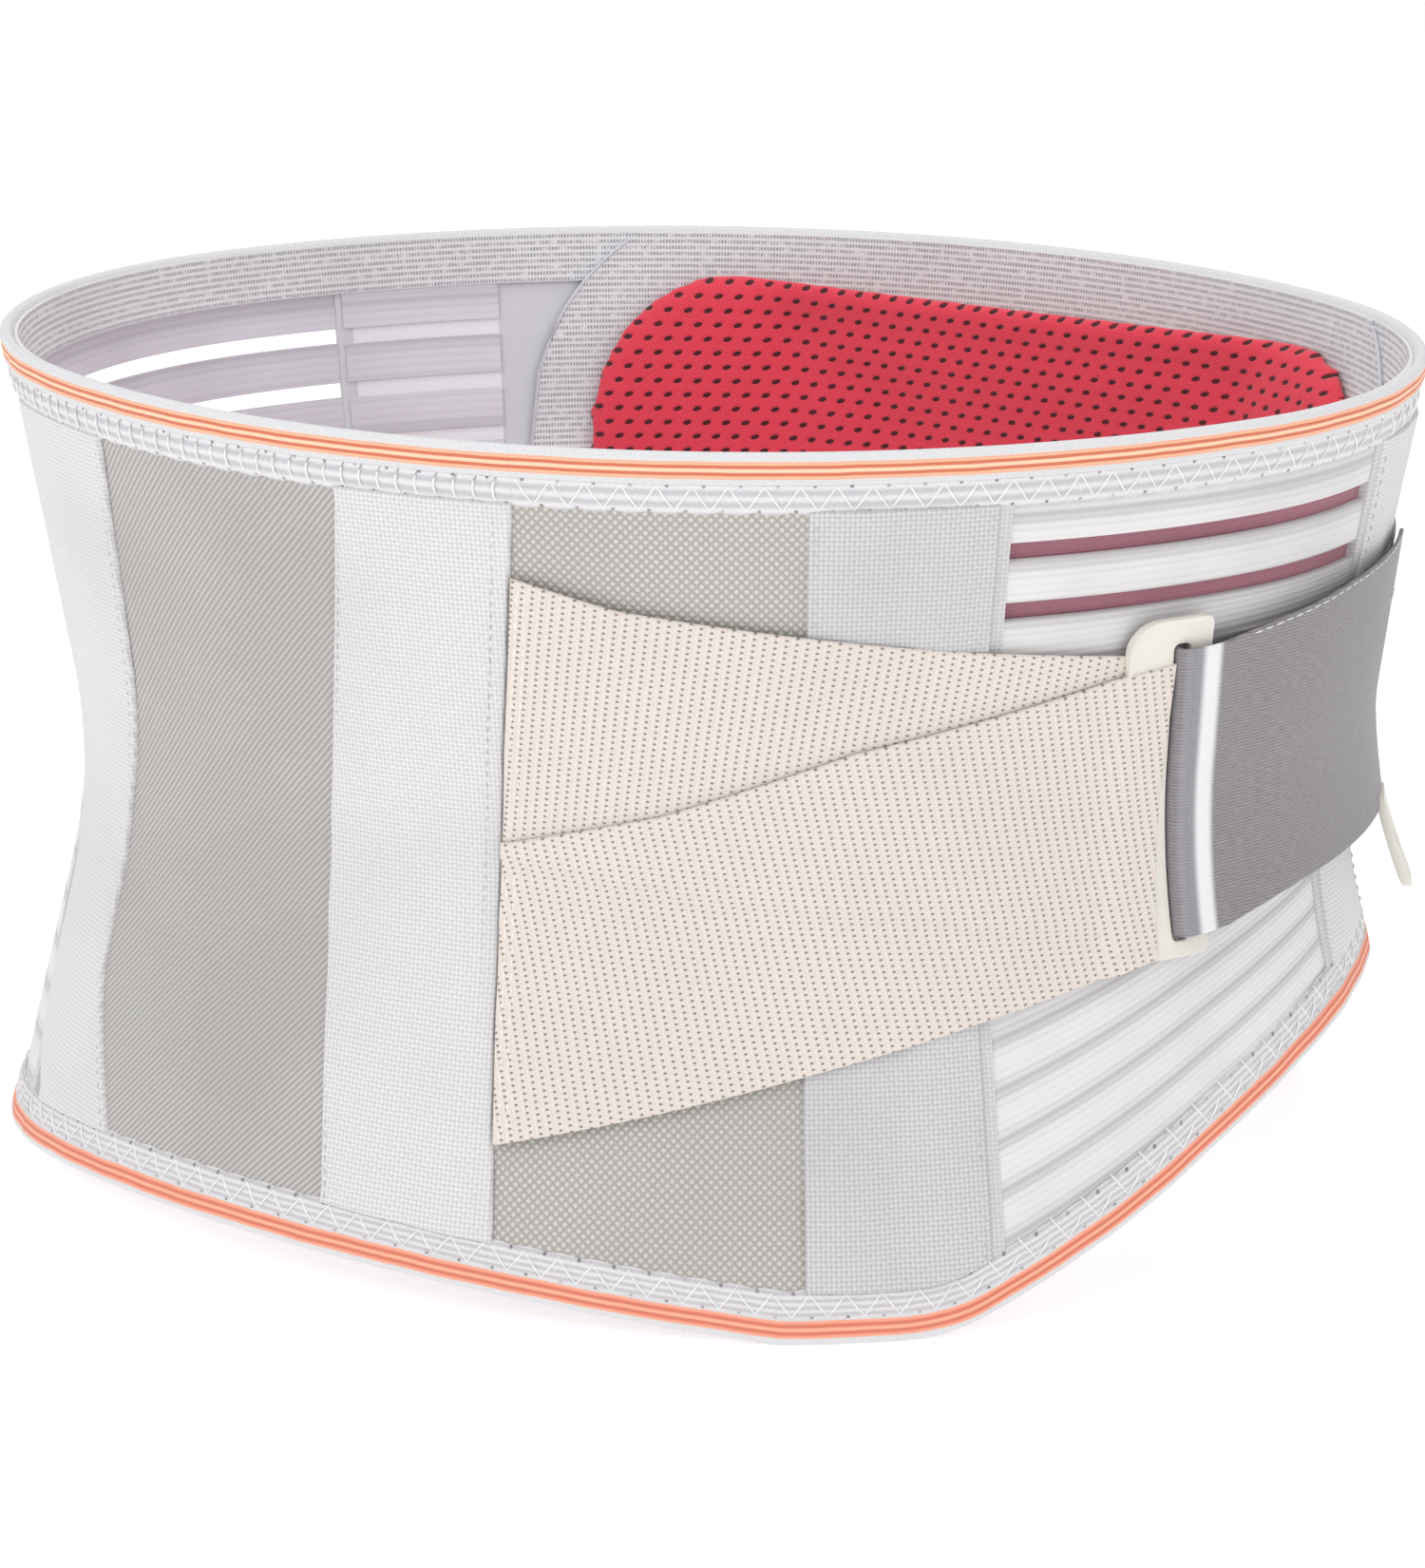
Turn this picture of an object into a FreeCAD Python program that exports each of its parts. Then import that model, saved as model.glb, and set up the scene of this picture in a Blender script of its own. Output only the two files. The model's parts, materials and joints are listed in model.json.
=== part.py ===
import FreeCAD, Part
import Sketcher
import math
import os

# Lumbar support belt, standing closed on its hem.
# Millimetres, +Z up, origin at the bottom centre of the belt's box, X along the long axis of its oval.
# The wall follows an oval of four tangent arcs. A place on the wall is given by its arc length along the
# oval, counted from the middle of the -Y side towards +X, its height, and its distance outwards from the
# wall's outer face. In height the wall is an arc at the waist that runs on straight to the rim and the hem.

DIMENSIONS = {
    # oval of the wall at its rim
    "end_radius": 118.0,
    "end_centre": 75.0,
    "side_centre": 70.0,
    "shift_along": 0.3,
    "shift_across": -0.7,
    # hourglass of the wall: an arc at the waist and how far it reaches down and up
    "belt_height": 230.0,
    "waist_height": 115.0,
    "waist_radius": 156.0,
    "waist_depth": 17.0,
    "waist_below": 38.0,
    "waist_above": 26.0,
    # cloth layers
    "cloth_thick": 1.2,
    "lining_thick": 0.8,
    "facing_thick": 0.8,
    "tape_thick": 1.8,
    "seam_thick": 1.0,
    "binding_rise": 8.5,
    "hem_binding_rise": 6.5,
    "binding_proud": 1.4,
    "seam_top": 16.0,
    "seam_bottom": 13.5,
    "facing_depth": 17.0,
    # steel stays in the strips
    "stay_width": 12.0,
    "stay_thick": 0.8,
    "stay_lift": 0.5,
    # hem: one low arch in front and a high arch over each hip
    "front_arch_rise": 11.4,
    "front_arch_radius": 850.0,
    "hip_rise": 61.0,
    "hip_radius": 200.0,
    "hip_rear_radius": 70.0,
    "far_hip_radius": 150.0,
    "far_hip_rear_radius": 120.0,
    "hem_blend": 30.0,
    "arch_start": 60.0,
    "arch_length": 220.0,
    # elastic sides
    "slot_high": 4.2,
    "slot_end": 4.0,
    # crossed straps, slotted plate and cinch strap
    "strap_lift": 2.2,
    "left_plate_front": 144.0,
    "right_strap_front": 286.0,
    "right_plate_front": 408.0,
    "anchor_half_gap": 76.0,
    "strap_thick": 1.2,
    "layer_gap": 0.4,
    "under_front_low": 120.0,
    "under_front_high": 196.0,
    "under_plate_low": 97.0,
    "under_plate_high": 171.0,
    "over_front_low": 46.0,
    "over_front_high": 123.5,
    "over_plate_low": 89.0,
    "over_plate_high": 167.5,
    "plate_thick": 2.2,
    "plate_length": 25.0,
    "plate_low": 88.0,
    "plate_high": 180.5,
    "plate_radius": 9.0,
    "slot_start": 13.5,
    "slot_gap": 5.0,
    "slot_low": 92.0,
    "slot_top": 173.5,
    "cinch_low": 93.5,
    "cinch_high": 172.5,
    "tail_length": 118.0,
    "tail_rise": 11.0,
    "tail_corner": 12.0,
    "tail_hook_length": 44.0,
    "tail_hook_margin": 8.0,
    "tab_low": 82.0,
    "tab_width": 26.0,
    "tab_length": 24.0,
    "tab_thick": 2.4,
    "tab_lap": 6.0,
    "tab_rim": 8.0,
    # closure
    "tongue_start": -98.0,
    "tongue_end": 13.0,
    "tongue_low": 28.0,
    "tongue_high": 206.0,
    "tongue_gap": 2.6,
    "tongue_thick": 1.0,
    "tongue_seam_start": -8.0,
    "tongue_corner": 16.0,
    # stays
    "stay_margin": 14.0,
    "stay_low": 30.0,
    "rear_stay_low": 84.0,
    # lumbar pad
    "pad_half_width": 150.0,
    "pad_low": 52.0,
    "pad_high": 219.0,
    "pad_radius": 52.0,
    "pad_thick": 10.0,
    "pad_skin": 1.5,
    "pad_gap": 0.4,
    "hook_thick": 0.8,
    "mesh_half_width": 168.0,
    "mesh_radius": 70.0,
}

# Arc lengths of the seams round the belt, from the middle of the -Y side towards +X.
SEAMS = {
    "flap_rear": -206.0,
    "flap_panel_rear": -157.0,
    "flap_strip": -73.0,
    "flap_edge": -24.0,
    "front_strip": 57.0,
    "elastic_front": 105.0,
    "elastic_rear": 235.0,
    "back_strip": 283.0,
    "back_centre": 459.0,
    "far_back_strip": 635.0,
    "far_elastic_rear": 683.0,
}

SEAM_GAP = 0.4

doc = FreeCAD.newDocument("lumbar_belt")
sheet = doc.addObject("Spreadsheet::Sheet", "Sizes")
for row, (alias, value) in enumerate({**DIMENSIONS, **SEAMS}.items(), start=1):
    sheet.set("A%d" % row, alias)
    sheet.set("B%d" % row, str(value))
    sheet.setAlias("B%d" % row, alias)
doc.recompute()


def size(alias):
    """Value of a cell of the sheet."""
    return float(sheet.get(alias))


# ---------------------------------------------------------------- the oval and its arcs

END_R = size("end_radius")
SIDE_R = END_R + math.hypot(size("end_centre"), size("side_centre"))
SPLIT = math.atan2(size("side_centre"), size("end_centre"))
HALF_SIDE = SIDE_R * (math.pi / 2 - SPLIT)
END_LENGTH = END_R * 2 * SPLIT
LOOP = 4 * HALF_SIDE + 2 * END_LENGTH
SHIFT = (size("shift_along"), size("shift_across"))

# Each arc: arc length where it starts and ends, angle of its start, radius, its cells, and its centre.
ARCS = []
reach = -HALF_SIDE
for turn, (along, across) in enumerate([(0, 1), (1, 0), (0, -1), (-1, 0)]):
    is_side = along == 0
    radius = SIDE_R if is_side else END_R
    length = 2 * HALF_SIDE if is_side else END_LENGTH
    start_angle = -math.pi / 2 - (math.pi / 2 - SPLIT) if turn == 0 else ARCS[-1]["end_angle"]
    ARCS.append({
        "start": reach,
        "end": reach + length,
        "start_angle": start_angle,
        "end_angle": start_angle + length / radius,
        "radius": radius,
        "radius_cells": "Sizes.end_radius" if not is_side else
        "Sizes.end_radius + sqrt(Sizes.end_centre ^ 2 + Sizes.side_centre ^ 2)",
        "centre": (along * size("end_centre") + SHIFT[0], across * size("side_centre") + SHIFT[1]),
    })
    reach += length


def hourglass(height):
    """Distance outwards of the wall's outer face from the oval at a height."""
    waist, radius = size("waist_height"), size("waist_radius")
    reach = min(max(height - waist, -size("waist_below")), size("waist_above"))
    deep = math.sqrt(radius ** 2 - reach ** 2)
    return radius - size("waist_depth") - deep + (height - waist - reach) * reach / deep


def hourglass_cells(height):
    """The same distance as an expression of the sheet's cells."""
    waist = size("waist_height")
    if height > waist + size("waist_above"):
        reach = "Sizes.waist_above"
    elif height < waist - size("waist_below"):
        reach = "(-Sizes.waist_below)"
    else:
        reach = "(%.6f - Sizes.waist_height)" % height
    deep = "sqrt(Sizes.waist_radius ^ 2 - %s ^ 2)" % reach
    return "Sizes.waist_radius - Sizes.waist_depth - %s + (%.6f - Sizes.waist_height - %s) * %s / %s" % (
        deep, height, reach, reach, deep)


def wall_place(along, out=0.0):
    """Point of the oval at an arc length, moved outwards, and the angle of the outward normal."""
    along = (along + HALF_SIDE) % LOOP - HALF_SIDE
    arc = next(a for a in ARCS if along <= a["end"])
    angle = arc["start_angle"] + (along - arc["start"]) / arc["radius"]
    reach_out = arc["radius"] + out
    x = arc["centre"][0] + reach_out * math.cos(angle)
    y = arc["centre"][1] + reach_out * math.sin(angle)
    return FreeCAD.Vector(x, y, 0), angle


def arc_spans(start, end):
    """Stretches of the oval's arcs between two arc lengths, each as (arc, start angle, end angle)."""
    spans = []
    for lap in (-LOOP, 0.0, LOOP):
        for arc in ARCS:
            low = max(start, arc["start"] + lap)
            high = min(end, arc["end"] + lap)
            if high - low > 1e-6:
                first = arc["start_angle"] + (low - lap - arc["start"]) / arc["radius"]
                last = arc["start_angle"] + (high - lap - arc["start"]) / arc["radius"]
                spans.append((low, arc, first, last))
    return [span[1:] for span in sorted(spans, key=lambda span: span[0])]


# ---------------------------------------------------------------- wall pieces

def origin_plane(body, role):
    """One of a body's own origin planes or axes."""
    return next(item for item in body.Origin.OriginFeatures if item.Role == role)


def profile_heights(low, high):
    """Heights from high to low at which the profile starts, ends or changes between line and arc."""
    waist = size("waist_height")
    bends = [waist + size("waist_above"), waist - size("waist_below")]
    return [high] + [bend for bend in bends if low + 1e-6 < bend < high - 1e-6] + [low]


def add_side(sketch, arc, out, heights):
    """One face of the profile as lines and an arc from the top down; returns its first and last edge."""
    waist, bend = size("waist_height"), size("waist_radius")
    first = sketch.GeometryCount
    centre = FreeCAD.Vector(arc["radius"] + bend - size("waist_depth") + out, waist, 0)
    for upper, lower in zip(heights, heights[1:]):
        ends = [FreeCAD.Vector(arc["radius"] + out + hourglass(height), height, 0)
                for height in (upper, lower)]
        middle = (upper + lower) / 2
        index = sketch.GeometryCount
        if -size("waist_below") < middle - waist < size("waist_above"):
            circle = Part.Circle(centre, FreeCAD.Vector(0, 0, 1), bend)
            angles = [math.pi - math.asin((height - waist) / bend) for height in (upper, lower)]
            sketch.addGeometry(Part.ArcOfCircle(circle, *angles), False)
            tie(sketch, Sketcher.Constraint("Radius", index, bend), "Sizes.waist_radius")
        else:
            sketch.addGeometry(Part.LineSegment(*ends), False)
        if index > first:
            sketch.addConstraint(Sketcher.Constraint("Coincident", index - 1, 2, index, 1))
        points = ((1, upper), (2, lower)) if index == first else ((2, lower),)
        for point, height in points:
            x = arc["radius"] + out + hourglass(height)
            tie(sketch, Sketcher.Constraint("DistanceX", -1, 1, index, point, x),
                "%s + (%s) + %s" % (arc["radius_cells"], out, hourglass_cells(height)))
            sketch.addConstraint(Sketcher.Constraint("DistanceY", -1, 1, index, point, height))
    return first, sketch.GeometryCount - 1


def add_profile(sketch, arc, inner, outer, low, high):
    """Closed hourglass profile between two distances outwards and two heights, tied to the sheet."""
    heights = profile_heights(low, high)
    sides = [add_side(sketch, arc, out, heights) for out in (inner, outer)]
    for which, point in ((0, 1), (1, 2)):
        edges = [side[which] for side in sides]
        cap = sketch.GeometryCount
        ends = [sketch.getPoint(edge, point) for edge in edges]
        sketch.addGeometry(Part.LineSegment(*ends), False)
        for end, edge in enumerate(edges, start=1):
            sketch.addConstraint(Sketcher.Constraint("Coincident", edge, point, cap, end))


def tie(sketch, constraint, expression):
    """Adds a constraint and binds its value to the sheet."""
    index = sketch.addConstraint(constraint)
    sketch.setExpression("Constraints[%d]" % index, expression)


def wall_piece(name, start, end, inner, outer, low, high):
    """Body that covers the wall between two seams, two distances outwards and two heights."""
    body = doc.addObject("PartDesign::Body", name)
    for number, (arc, first, last) in enumerate(arc_spans(start, end)):
        sketch = body.newObject("Sketcher::SketchObject", "%s_profile_%d" % (name, number))
        sketch.AttachmentSupport = (origin_plane(body, "XZ_Plane"), [""])
        sketch.MapMode = "FlatFace"
        middle = math.degrees((first + last) / 2)
        sketch.AttachmentOffset = FreeCAD.Placement(
            FreeCAD.Vector(arc["centre"][0], 0, -arc["centre"][1]),
            FreeCAD.Rotation(FreeCAD.Vector(0, 1, 0), middle))
        add_profile(sketch, arc, inner, outer, low, high)
        turned = body.newObject("PartDesign::Revolution", "%s_turn_%d" % (name, number))
        turned.Profile = sketch
        turned.ReferenceAxis = (sketch, ["V_Axis"])
        turned.Midplane = True
        turned.Angle = math.degrees(last - first)
        turned.Refine = False
    return body


# ---------------------------------------------------------------- outlines drawn on the wall

def rounded_path(points, radii):
    """Lines and arcs of a closed outline whose corners are rounded."""
    count = len(points)
    corners = []
    for index, point in enumerate(points):
        before = (points[index - 1] - point).normalize()
        after = (points[(index + 1) % count] - point).normalize()
        radius = radii[index]
        if radius <= 0:
            corners.append((point, None, point))
            continue
        half = before.getAngle(after) / 2
        reach_back = radius / math.tan(half)
        centre = point + (before + after).normalize() * (radius / math.sin(half))
        middle = centre + (point - centre).normalize() * radius
        corners.append((point + before * reach_back, middle, point + after * reach_back))
    edges = []
    for index, (first, middle, last) in enumerate(corners):
        if middle is not None:
            edges.append(Part.Arc(first, middle, last))
        following = corners[(index + 1) % count][0]
        if last.distanceToPoint(following) > 1e-6:
            edges.append(Part.LineSegment(last, following))
    return edges


def outline_tool(name, corners, radii, facing, out=40.0):
    """Upright prism through the wall, whose outline has its corners at (arc length, height)."""
    foot, angle = wall_place(facing, -out)
    across = FreeCAD.Vector(-math.sin(angle), math.cos(angle), 0)
    points = []
    for along, height in corners:
        offset = wall_place(along, hourglass(height))[0] - foot
        points.append(FreeCAD.Vector(offset.dot(across), height, 0))
    sketch = doc.addObject("Sketcher::SketchObject", name + "_outline")
    turn = FreeCAD.Rotation(across, FreeCAD.Vector(0, 0, 1), FreeCAD.Vector(), "XYZ")
    sketch.Placement = FreeCAD.Placement(foot, turn)
    edges = rounded_path(points, radii)
    sketch.addGeometry(edges, False)
    for index in range(len(edges)):
        following = (index + 1) % len(edges)
        straight = isinstance(edges[following], Part.LineSegment)
        start_point = 1 if straight else edge_start(sketch, index, following)
        end_point = 2 if isinstance(edges[index], Part.LineSegment) else edge_end(sketch, index, following)
        sketch.addConstraint(Sketcher.Constraint("Coincident", index, end_point, following, start_point))
    prism = doc.addObject("Part::Extrusion", name + "_prism")
    prism.Base = sketch
    prism.DirMode = "Normal"
    prism.LengthFwd = 2 * out
    prism.Solid = True
    return prism


def edge_start(sketch, index, following):
    """Which end of the following edge meets this one."""
    ends = [sketch.getPoint(following, end) for end in (1, 2)]
    near = [min(end.distanceToPoint(sketch.getPoint(index, other)) for other in (1, 2)) for end in ends]
    return 1 if near[0] < near[1] else 2


def edge_end(sketch, index, following):
    """Which end of this edge meets the following one."""
    return edge_start(sketch, following, index)


def cut(name, base, tool):
    """Base with the tool taken away."""
    result = doc.addObject("Part::Cut", name)
    result.Base = base
    result.Tool = tool
    return result


def common(name, base, tool):
    """What the base and the tool share."""
    result = doc.addObject("Part::Common", name)
    result.Base = base
    result.Tool = tool
    return result


def fuse(name, pieces):
    """Several touching pieces as one."""
    result = doc.addObject("Part::MultiFuse", name)
    result.Shapes = pieces
    result.Refine = False
    return result


def group(name, pieces):
    """Several separate solids kept together as one node."""
    result = doc.addObject("Part::Compound", name)
    result.Links = pieces
    return result


# ---------------------------------------------------------------- hem

def arch_outline(peak, rise, radius, rear_radius, lean, rear_lean, blend):
    """Edges of an arch over a hip: blend, slope, crown, slope, blend, down to a base below the hem."""
    depth = -40.0
    crown = []
    for side, bend, slope in ((-1, radius, lean), (1, rear_radius, rear_lean)):
        tangent = FreeCAD.Vector(peak + side * bend * math.sin(slope), rise - bend * (1 - math.cos(slope)), 0)
        foot = tangent.x + side * tangent.y / math.tan(slope)
        reach_in = blend * math.tan(slope / 2)
        blend_top = FreeCAD.Vector(foot - side * reach_in * math.cos(slope), reach_in * math.sin(slope), 0)
        blend_low = FreeCAD.Vector(foot + side * reach_in, 0, 0)
        blend_mid = FreeCAD.Vector(blend_low.x - side * blend * math.sin(slope / 2),
                                   blend * (1 - math.cos(slope / 2)), 0)
        crown_mid = FreeCAD.Vector(peak + side * bend * math.sin(slope / 2),
                                   rise - bend * (1 - math.cos(slope / 2)), 0)
        crown.append((blend_low, blend_mid, blend_top, tangent, crown_mid))
    top = FreeCAD.Vector(peak, rise, 0)
    left, right = crown
    base_left = FreeCAD.Vector(left[0].x, depth, 0)
    base_right = FreeCAD.Vector(right[0].x, depth, 0)
    return [
        Part.LineSegment(base_left, left[0]),
        Part.Arc(left[0], left[1], left[2]),
        Part.LineSegment(left[2], left[3]),
        Part.Arc(left[3], left[4], top),
        Part.Arc(top, right[4], right[3]),
        Part.LineSegment(right[3], right[2]),
        Part.Arc(right[2], right[1], right[0]),
        Part.LineSegment(right[0], base_right),
        Part.LineSegment(base_right, base_left),
    ]


def low_arch_outline(peak, rise, radius):
    """Edges of the flat arch in front, one arc down to a base below the hem."""
    depth = -40.0
    half = math.sqrt(2 * radius * rise - rise * rise)
    left = FreeCAD.Vector(peak - half, 0, 0)
    right = FreeCAD.Vector(peak + half, 0, 0)
    base_left = FreeCAD.Vector(left.x, depth, 0)
    base_right = FreeCAD.Vector(right.x, depth, 0)
    return [
        Part.LineSegment(base_left, left),
        Part.Arc(left, FreeCAD.Vector(peak, rise, 0), right),
        Part.LineSegment(right, base_right),
        Part.LineSegment(base_right, base_left),
    ]


def arch_prism(name, edges, heading, lift):
    """Arch drawn upright along a heading and extruded outwards to the right of that heading."""
    direction = FreeCAD.Vector(math.cos(heading), math.sin(heading), 0)
    outward = FreeCAD.Vector(math.sin(heading), -math.cos(heading), 0)
    sketch = doc.addObject("Sketcher::SketchObject", name + "_sketch")
    turn = FreeCAD.Rotation(direction, FreeCAD.Vector(0, 0, 1), FreeCAD.Vector(), "XYZ")
    start = outward * size("arch_start") + FreeCAD.Vector(SHIFT[0], SHIFT[1], lift)
    sketch.Placement = FreeCAD.Placement(start, turn)
    sketch.addGeometry(edges, False)
    prism = doc.addObject("Part::Extrusion", name)
    prism.Base = sketch
    prism.DirMode = "Normal"
    prism.LengthFwd = size("arch_length")
    prism.setExpression("LengthFwd", "Sizes.arch_length")
    prism.Solid = True
    return prism


HIP_HEADING = math.atan2(0.969, 0.246)
FAR_HIP_HEADING = math.atan2(-0.678, -0.735)
FRONT_HEADING = math.atan2(-0.366, 0.931)
HIP_PEAK = 50.0
FAR_HIP_PEAK = 20.0
FRONT_PEAK = -35.0


def hem_tool(name, lift):
    """Everything below the hem line, raised by a distance."""
    hip = arch_outline(HIP_PEAK, size("hip_rise"), size("hip_radius"), size("hip_rear_radius"),
                       math.radians(29.2), math.radians(45), size("hem_blend"))
    far_hip = arch_outline(FAR_HIP_PEAK, size("hip_rise"), size("far_hip_rear_radius"),
                           size("far_hip_radius"), math.radians(35), math.radians(35), size("hem_blend"))
    front = low_arch_outline(FRONT_PEAK, size("front_arch_rise"), size("front_arch_radius"))
    slab = doc.addObject("Part::Box", name + "_slab")
    slab.Length = 500
    slab.Width = 440
    slab.Height = 60
    slab.Placement.Base = FreeCAD.Vector(-250, -220, lift - 60)
    pieces = [
        slab,
        arch_prism(name + "_hip", hip, HIP_HEADING, lift),
        arch_prism(name + "_far_hip", far_hip, FAR_HIP_HEADING, lift),
        arch_prism(name + "_front", front, FRONT_HEADING, lift),
    ]
    return fuse(name, pieces)


below_hem = hem_tool("below_hem", 0.0)
below_binding = hem_tool("below_binding", size("hem_binding_rise"))
below_seam = hem_tool("below_seam", size("seam_bottom"))

# ---------------------------------------------------------------- the nodes

NODES = {}
TOP = size("belt_height")
BINDING_TOP = TOP - size("binding_rise")
LOW = -5.0
LINING_OUT = -size("cloth_thick")
LINING_IN = LINING_OUT - size("lining_thick")
FACING_IN = LINING_IN - size("facing_thick")
BINDING_IN = FACING_IN
BINDING_OUT = size("binding_proud")


def keep(name, item):
    """Registers an object as a node of the belt."""
    item.Label = name
    NODES[name] = item
    return item


def tool_name(name):
    """Name of the uncut body behind a node."""
    return name + "_blank"


def panel(name, start, end, inner, outer, high=None):
    """Cloth panel from the hem binding up to the rim binding, cut along the hem in two halves."""
    top = BINDING_TOP if high is None else high
    middle = (start + end) / 2
    halves = []
    for side, first, last in (("near", start, middle), ("far", middle, end)):
        half = wall_piece("%s_%s" % (tool_name(name), side), first, last, inner, outer, LOW, top)
        for step, tool in enumerate(below_binding.Shapes):
            half = cut("%s_%s_cut_%d" % (name, side, step), half, tool)
        halves.append(half)
    return fuse(name, halves)


def top_band(name, start, end):
    """Rim binding between two seams."""
    return wall_piece(name, start, end, BINDING_IN, BINDING_OUT, BINDING_TOP, TOP)


def hem_band(name, start, end):
    """Hem binding between two seams."""
    blank = wall_piece(tool_name(name), start, end, BINDING_IN, BINDING_OUT, LOW, 110.0)
    band = common(name + "_band", blank, below_binding)
    return cut(name, band, below_hem)


def hem_seam(name, start, end):
    """Stitched tape above the hem binding."""
    blank = wall_piece(tool_name(name), start, end, 0.0, size("seam_thick"), LOW, 110.0)
    band = common(name + "_band", blank, below_seam)
    return cut(name, band, below_binding)


def top_seam(name, start, end):
    """Stitched tape under the rim binding."""
    return wall_piece(name, start, end, 0.0, size("seam_thick"), TOP - size("seam_top"), BINDING_TOP)


def facing(name, start, end):
    """Knitted facing inside the rim."""
    return wall_piece(name, start, end, FACING_IN, LINING_IN, TOP - size("facing_depth"), BINDING_TOP)


def strip_and_stays(strip_name, stay_name, spans, stay_places, stay_low):
    """Stay strips with a pocket for each steel stay, and the stays themselves."""
    strip_out = size("tape_thick")
    strip_top = TOP - size("seam_top")
    strips = []
    for index, (start, end) in enumerate(spans):
        blank = wall_piece("%s_blank_%d" % (strip_name, index), start, end, 0.0, strip_out, LOW, strip_top)
        strips.append(cut("%s_cloth_%d" % (strip_name, index), blank, below_seam))
    half = size("stay_width") / 2
    stay_in = size("stay_lift")
    stay_out = stay_in + size("stay_thick")
    stays = []
    for index, place in enumerate(stay_places):
        stays.append(wall_piece("%s_%d" % (stay_name, index), place - half, place + half,
                                stay_in, stay_out, stay_low, strip_top - 8.0))
    steel = group(stay_name, stays)
    cloth = strips[0] if len(strips) == 1 else group(strip_name + "_cloth", strips)
    keep(strip_name, cut(strip_name, cloth, steel))
    keep(stay_name, steel)


def build_front():
    """Left front wing, with the tongue that the closing flap fastens to."""
    start = size("flap_edge") + SEAM_GAP
    end = size("elastic_front")
    keep("left_front_panel", panel("left_front_panel", start, end, LINING_OUT, 0.0))
    keep("left_front_lining", panel("left_front_lining", start, end, LINING_IN, LINING_OUT))
    margin = size("stay_margin")
    strip_and_stays("left_front_strip", "left_front_stays", [(size("front_strip"), end)],
                    [size("front_strip") + margin, end - margin], size("stay_low"))
    tongue_out = LINING_IN - size("tongue_gap")
    first, last = size("tongue_start"), size("tongue_end")
    low, high = size("tongue_low"), size("tongue_high")
    tongue = wall_piece("tongue_cloth", first - 2.0, last + 1.0,
                        tongue_out - size("tongue_thick"), tongue_out,
                        low - 2.0, high + 2.0)
    seam = wall_piece("tongue_seam", size("tongue_seam_start"), last + 1.0, tongue_out, LINING_IN,
                      low - 2.0, high + 2.0)
    corner = size("tongue_corner")
    outline = outline_tool("tongue", [(first, low), (last, low), (last, high), (first, high)],
                           [corner, 0.0, 0.0, corner], (first + last) / 2)
    keep("closure_tongue", common("closure_tongue", fuse("tongue_cloths", [tongue, seam]), outline))
    keep("tongue_loop_patch", wall_piece("tongue_loop_patch", -88.0, -27.0, tongue_out,
                                         tongue_out + 1.0, 40.0, 194.0))


def build_flap():
    """Right front wing, the outer flap of the closure."""
    start = size("flap_rear")
    end = size("flap_edge")
    keep("flap_panel", panel("flap_panel", start, end, LINING_OUT, 0.0))
    keep("flap_lining", panel("flap_lining", start, end, LINING_IN, LINING_OUT))
    rear = size("flap_panel_rear")
    edge = size("flap_strip")
    margin = size("stay_margin")
    strip_and_stays("flap_rear_strip", "flap_rear_stays", [(start, rear)],
                    [start + margin, rear - margin], size("stay_low"))
    strip_and_stays("flap_edge_strip", "flap_edge_stays", [(edge, end)],
                    [edge + margin, end - margin], size("stay_low"))
    keep("flap_hook_patch", wall_piece("flap_hook_patch", -84.0, -30.0, LINING_IN - 1.2, LINING_IN,
                                       44.0, 190.0))
    keep("flap_top_binding", top_band("flap_top_binding", start, end))
    keep("flap_hem_binding", hem_band("flap_hem_binding", start, end))
    keep("flap_top_seam", top_seam("flap_top_seam", start, end))
    keep("flap_hem_seam", hem_seam("flap_hem_seam", start, end))
    keep("flap_top_facing", facing("flap_top_facing", start, end))


def build_elastic(name, start, end, slots):
    """Elastic side panel of bands with open slots between them."""
    blank = panel(name + "_web", start, end, LINING_IN, 0.0)
    cutters = []
    for index, (first, last, low, high) in enumerate(slots):
        cutters.append(wall_piece("%s_slot_%d" % (name, index), first, last, -6.0, 4.0, low, high))
    keep(name, cut(name, blank, fuse(name + "_slots", cutters)))


def build_sides():
    """Both elastic sides."""
    high = size("slot_high")
    margin = size("slot_end")
    front = size("elastic_front") + margin
    rear = size("elastic_rear") - margin
    slots = [(front, rear, 183.8, 183.8 + high), (front, rear, 199.6, 199.6 + high)]
    build_elastic("left_elastic", size("elastic_front"), size("elastic_rear"), slots)
    front = size("far_elastic_rear") + margin
    rear = size("flap_rear") + LOOP - SEAM_GAP - margin
    slots = [(front, rear, low, low + high) for low in (168.0, 183.8, 199.6)]
    build_elastic("right_elastic", size("far_elastic_rear"), size("flap_rear") + LOOP - SEAM_GAP, slots)


def build_back():
    """Back section with its stay strips."""
    start = size("elastic_rear")
    end = size("far_elastic_rear")
    keep("back_panel", panel("back_panel", start, end, LINING_OUT, 0.0))
    keep("back_lining", panel("back_lining", start, end, LINING_IN, LINING_OUT))
    margin = size("stay_margin")
    strip_and_stays("left_rear_strip", "left_rear_stays", [(start, size("back_strip"))],
                    [start + margin, size("back_strip") - margin], size("rear_stay_low"))
    strip_and_stays("right_rear_strip", "right_rear_stays", [(size("far_back_strip"), end)],
                    [size("far_back_strip") + margin, end - margin], size("rear_stay_low"))
    centre = size("back_centre")
    spans = [(centre - 82.0, centre - 50.0), (centre + 50.0, centre + 82.0)]
    strip_and_stays("back_strips", "back_stays", spans, [centre - 66.0, centre + 66.0], size("stay_low"))


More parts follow.
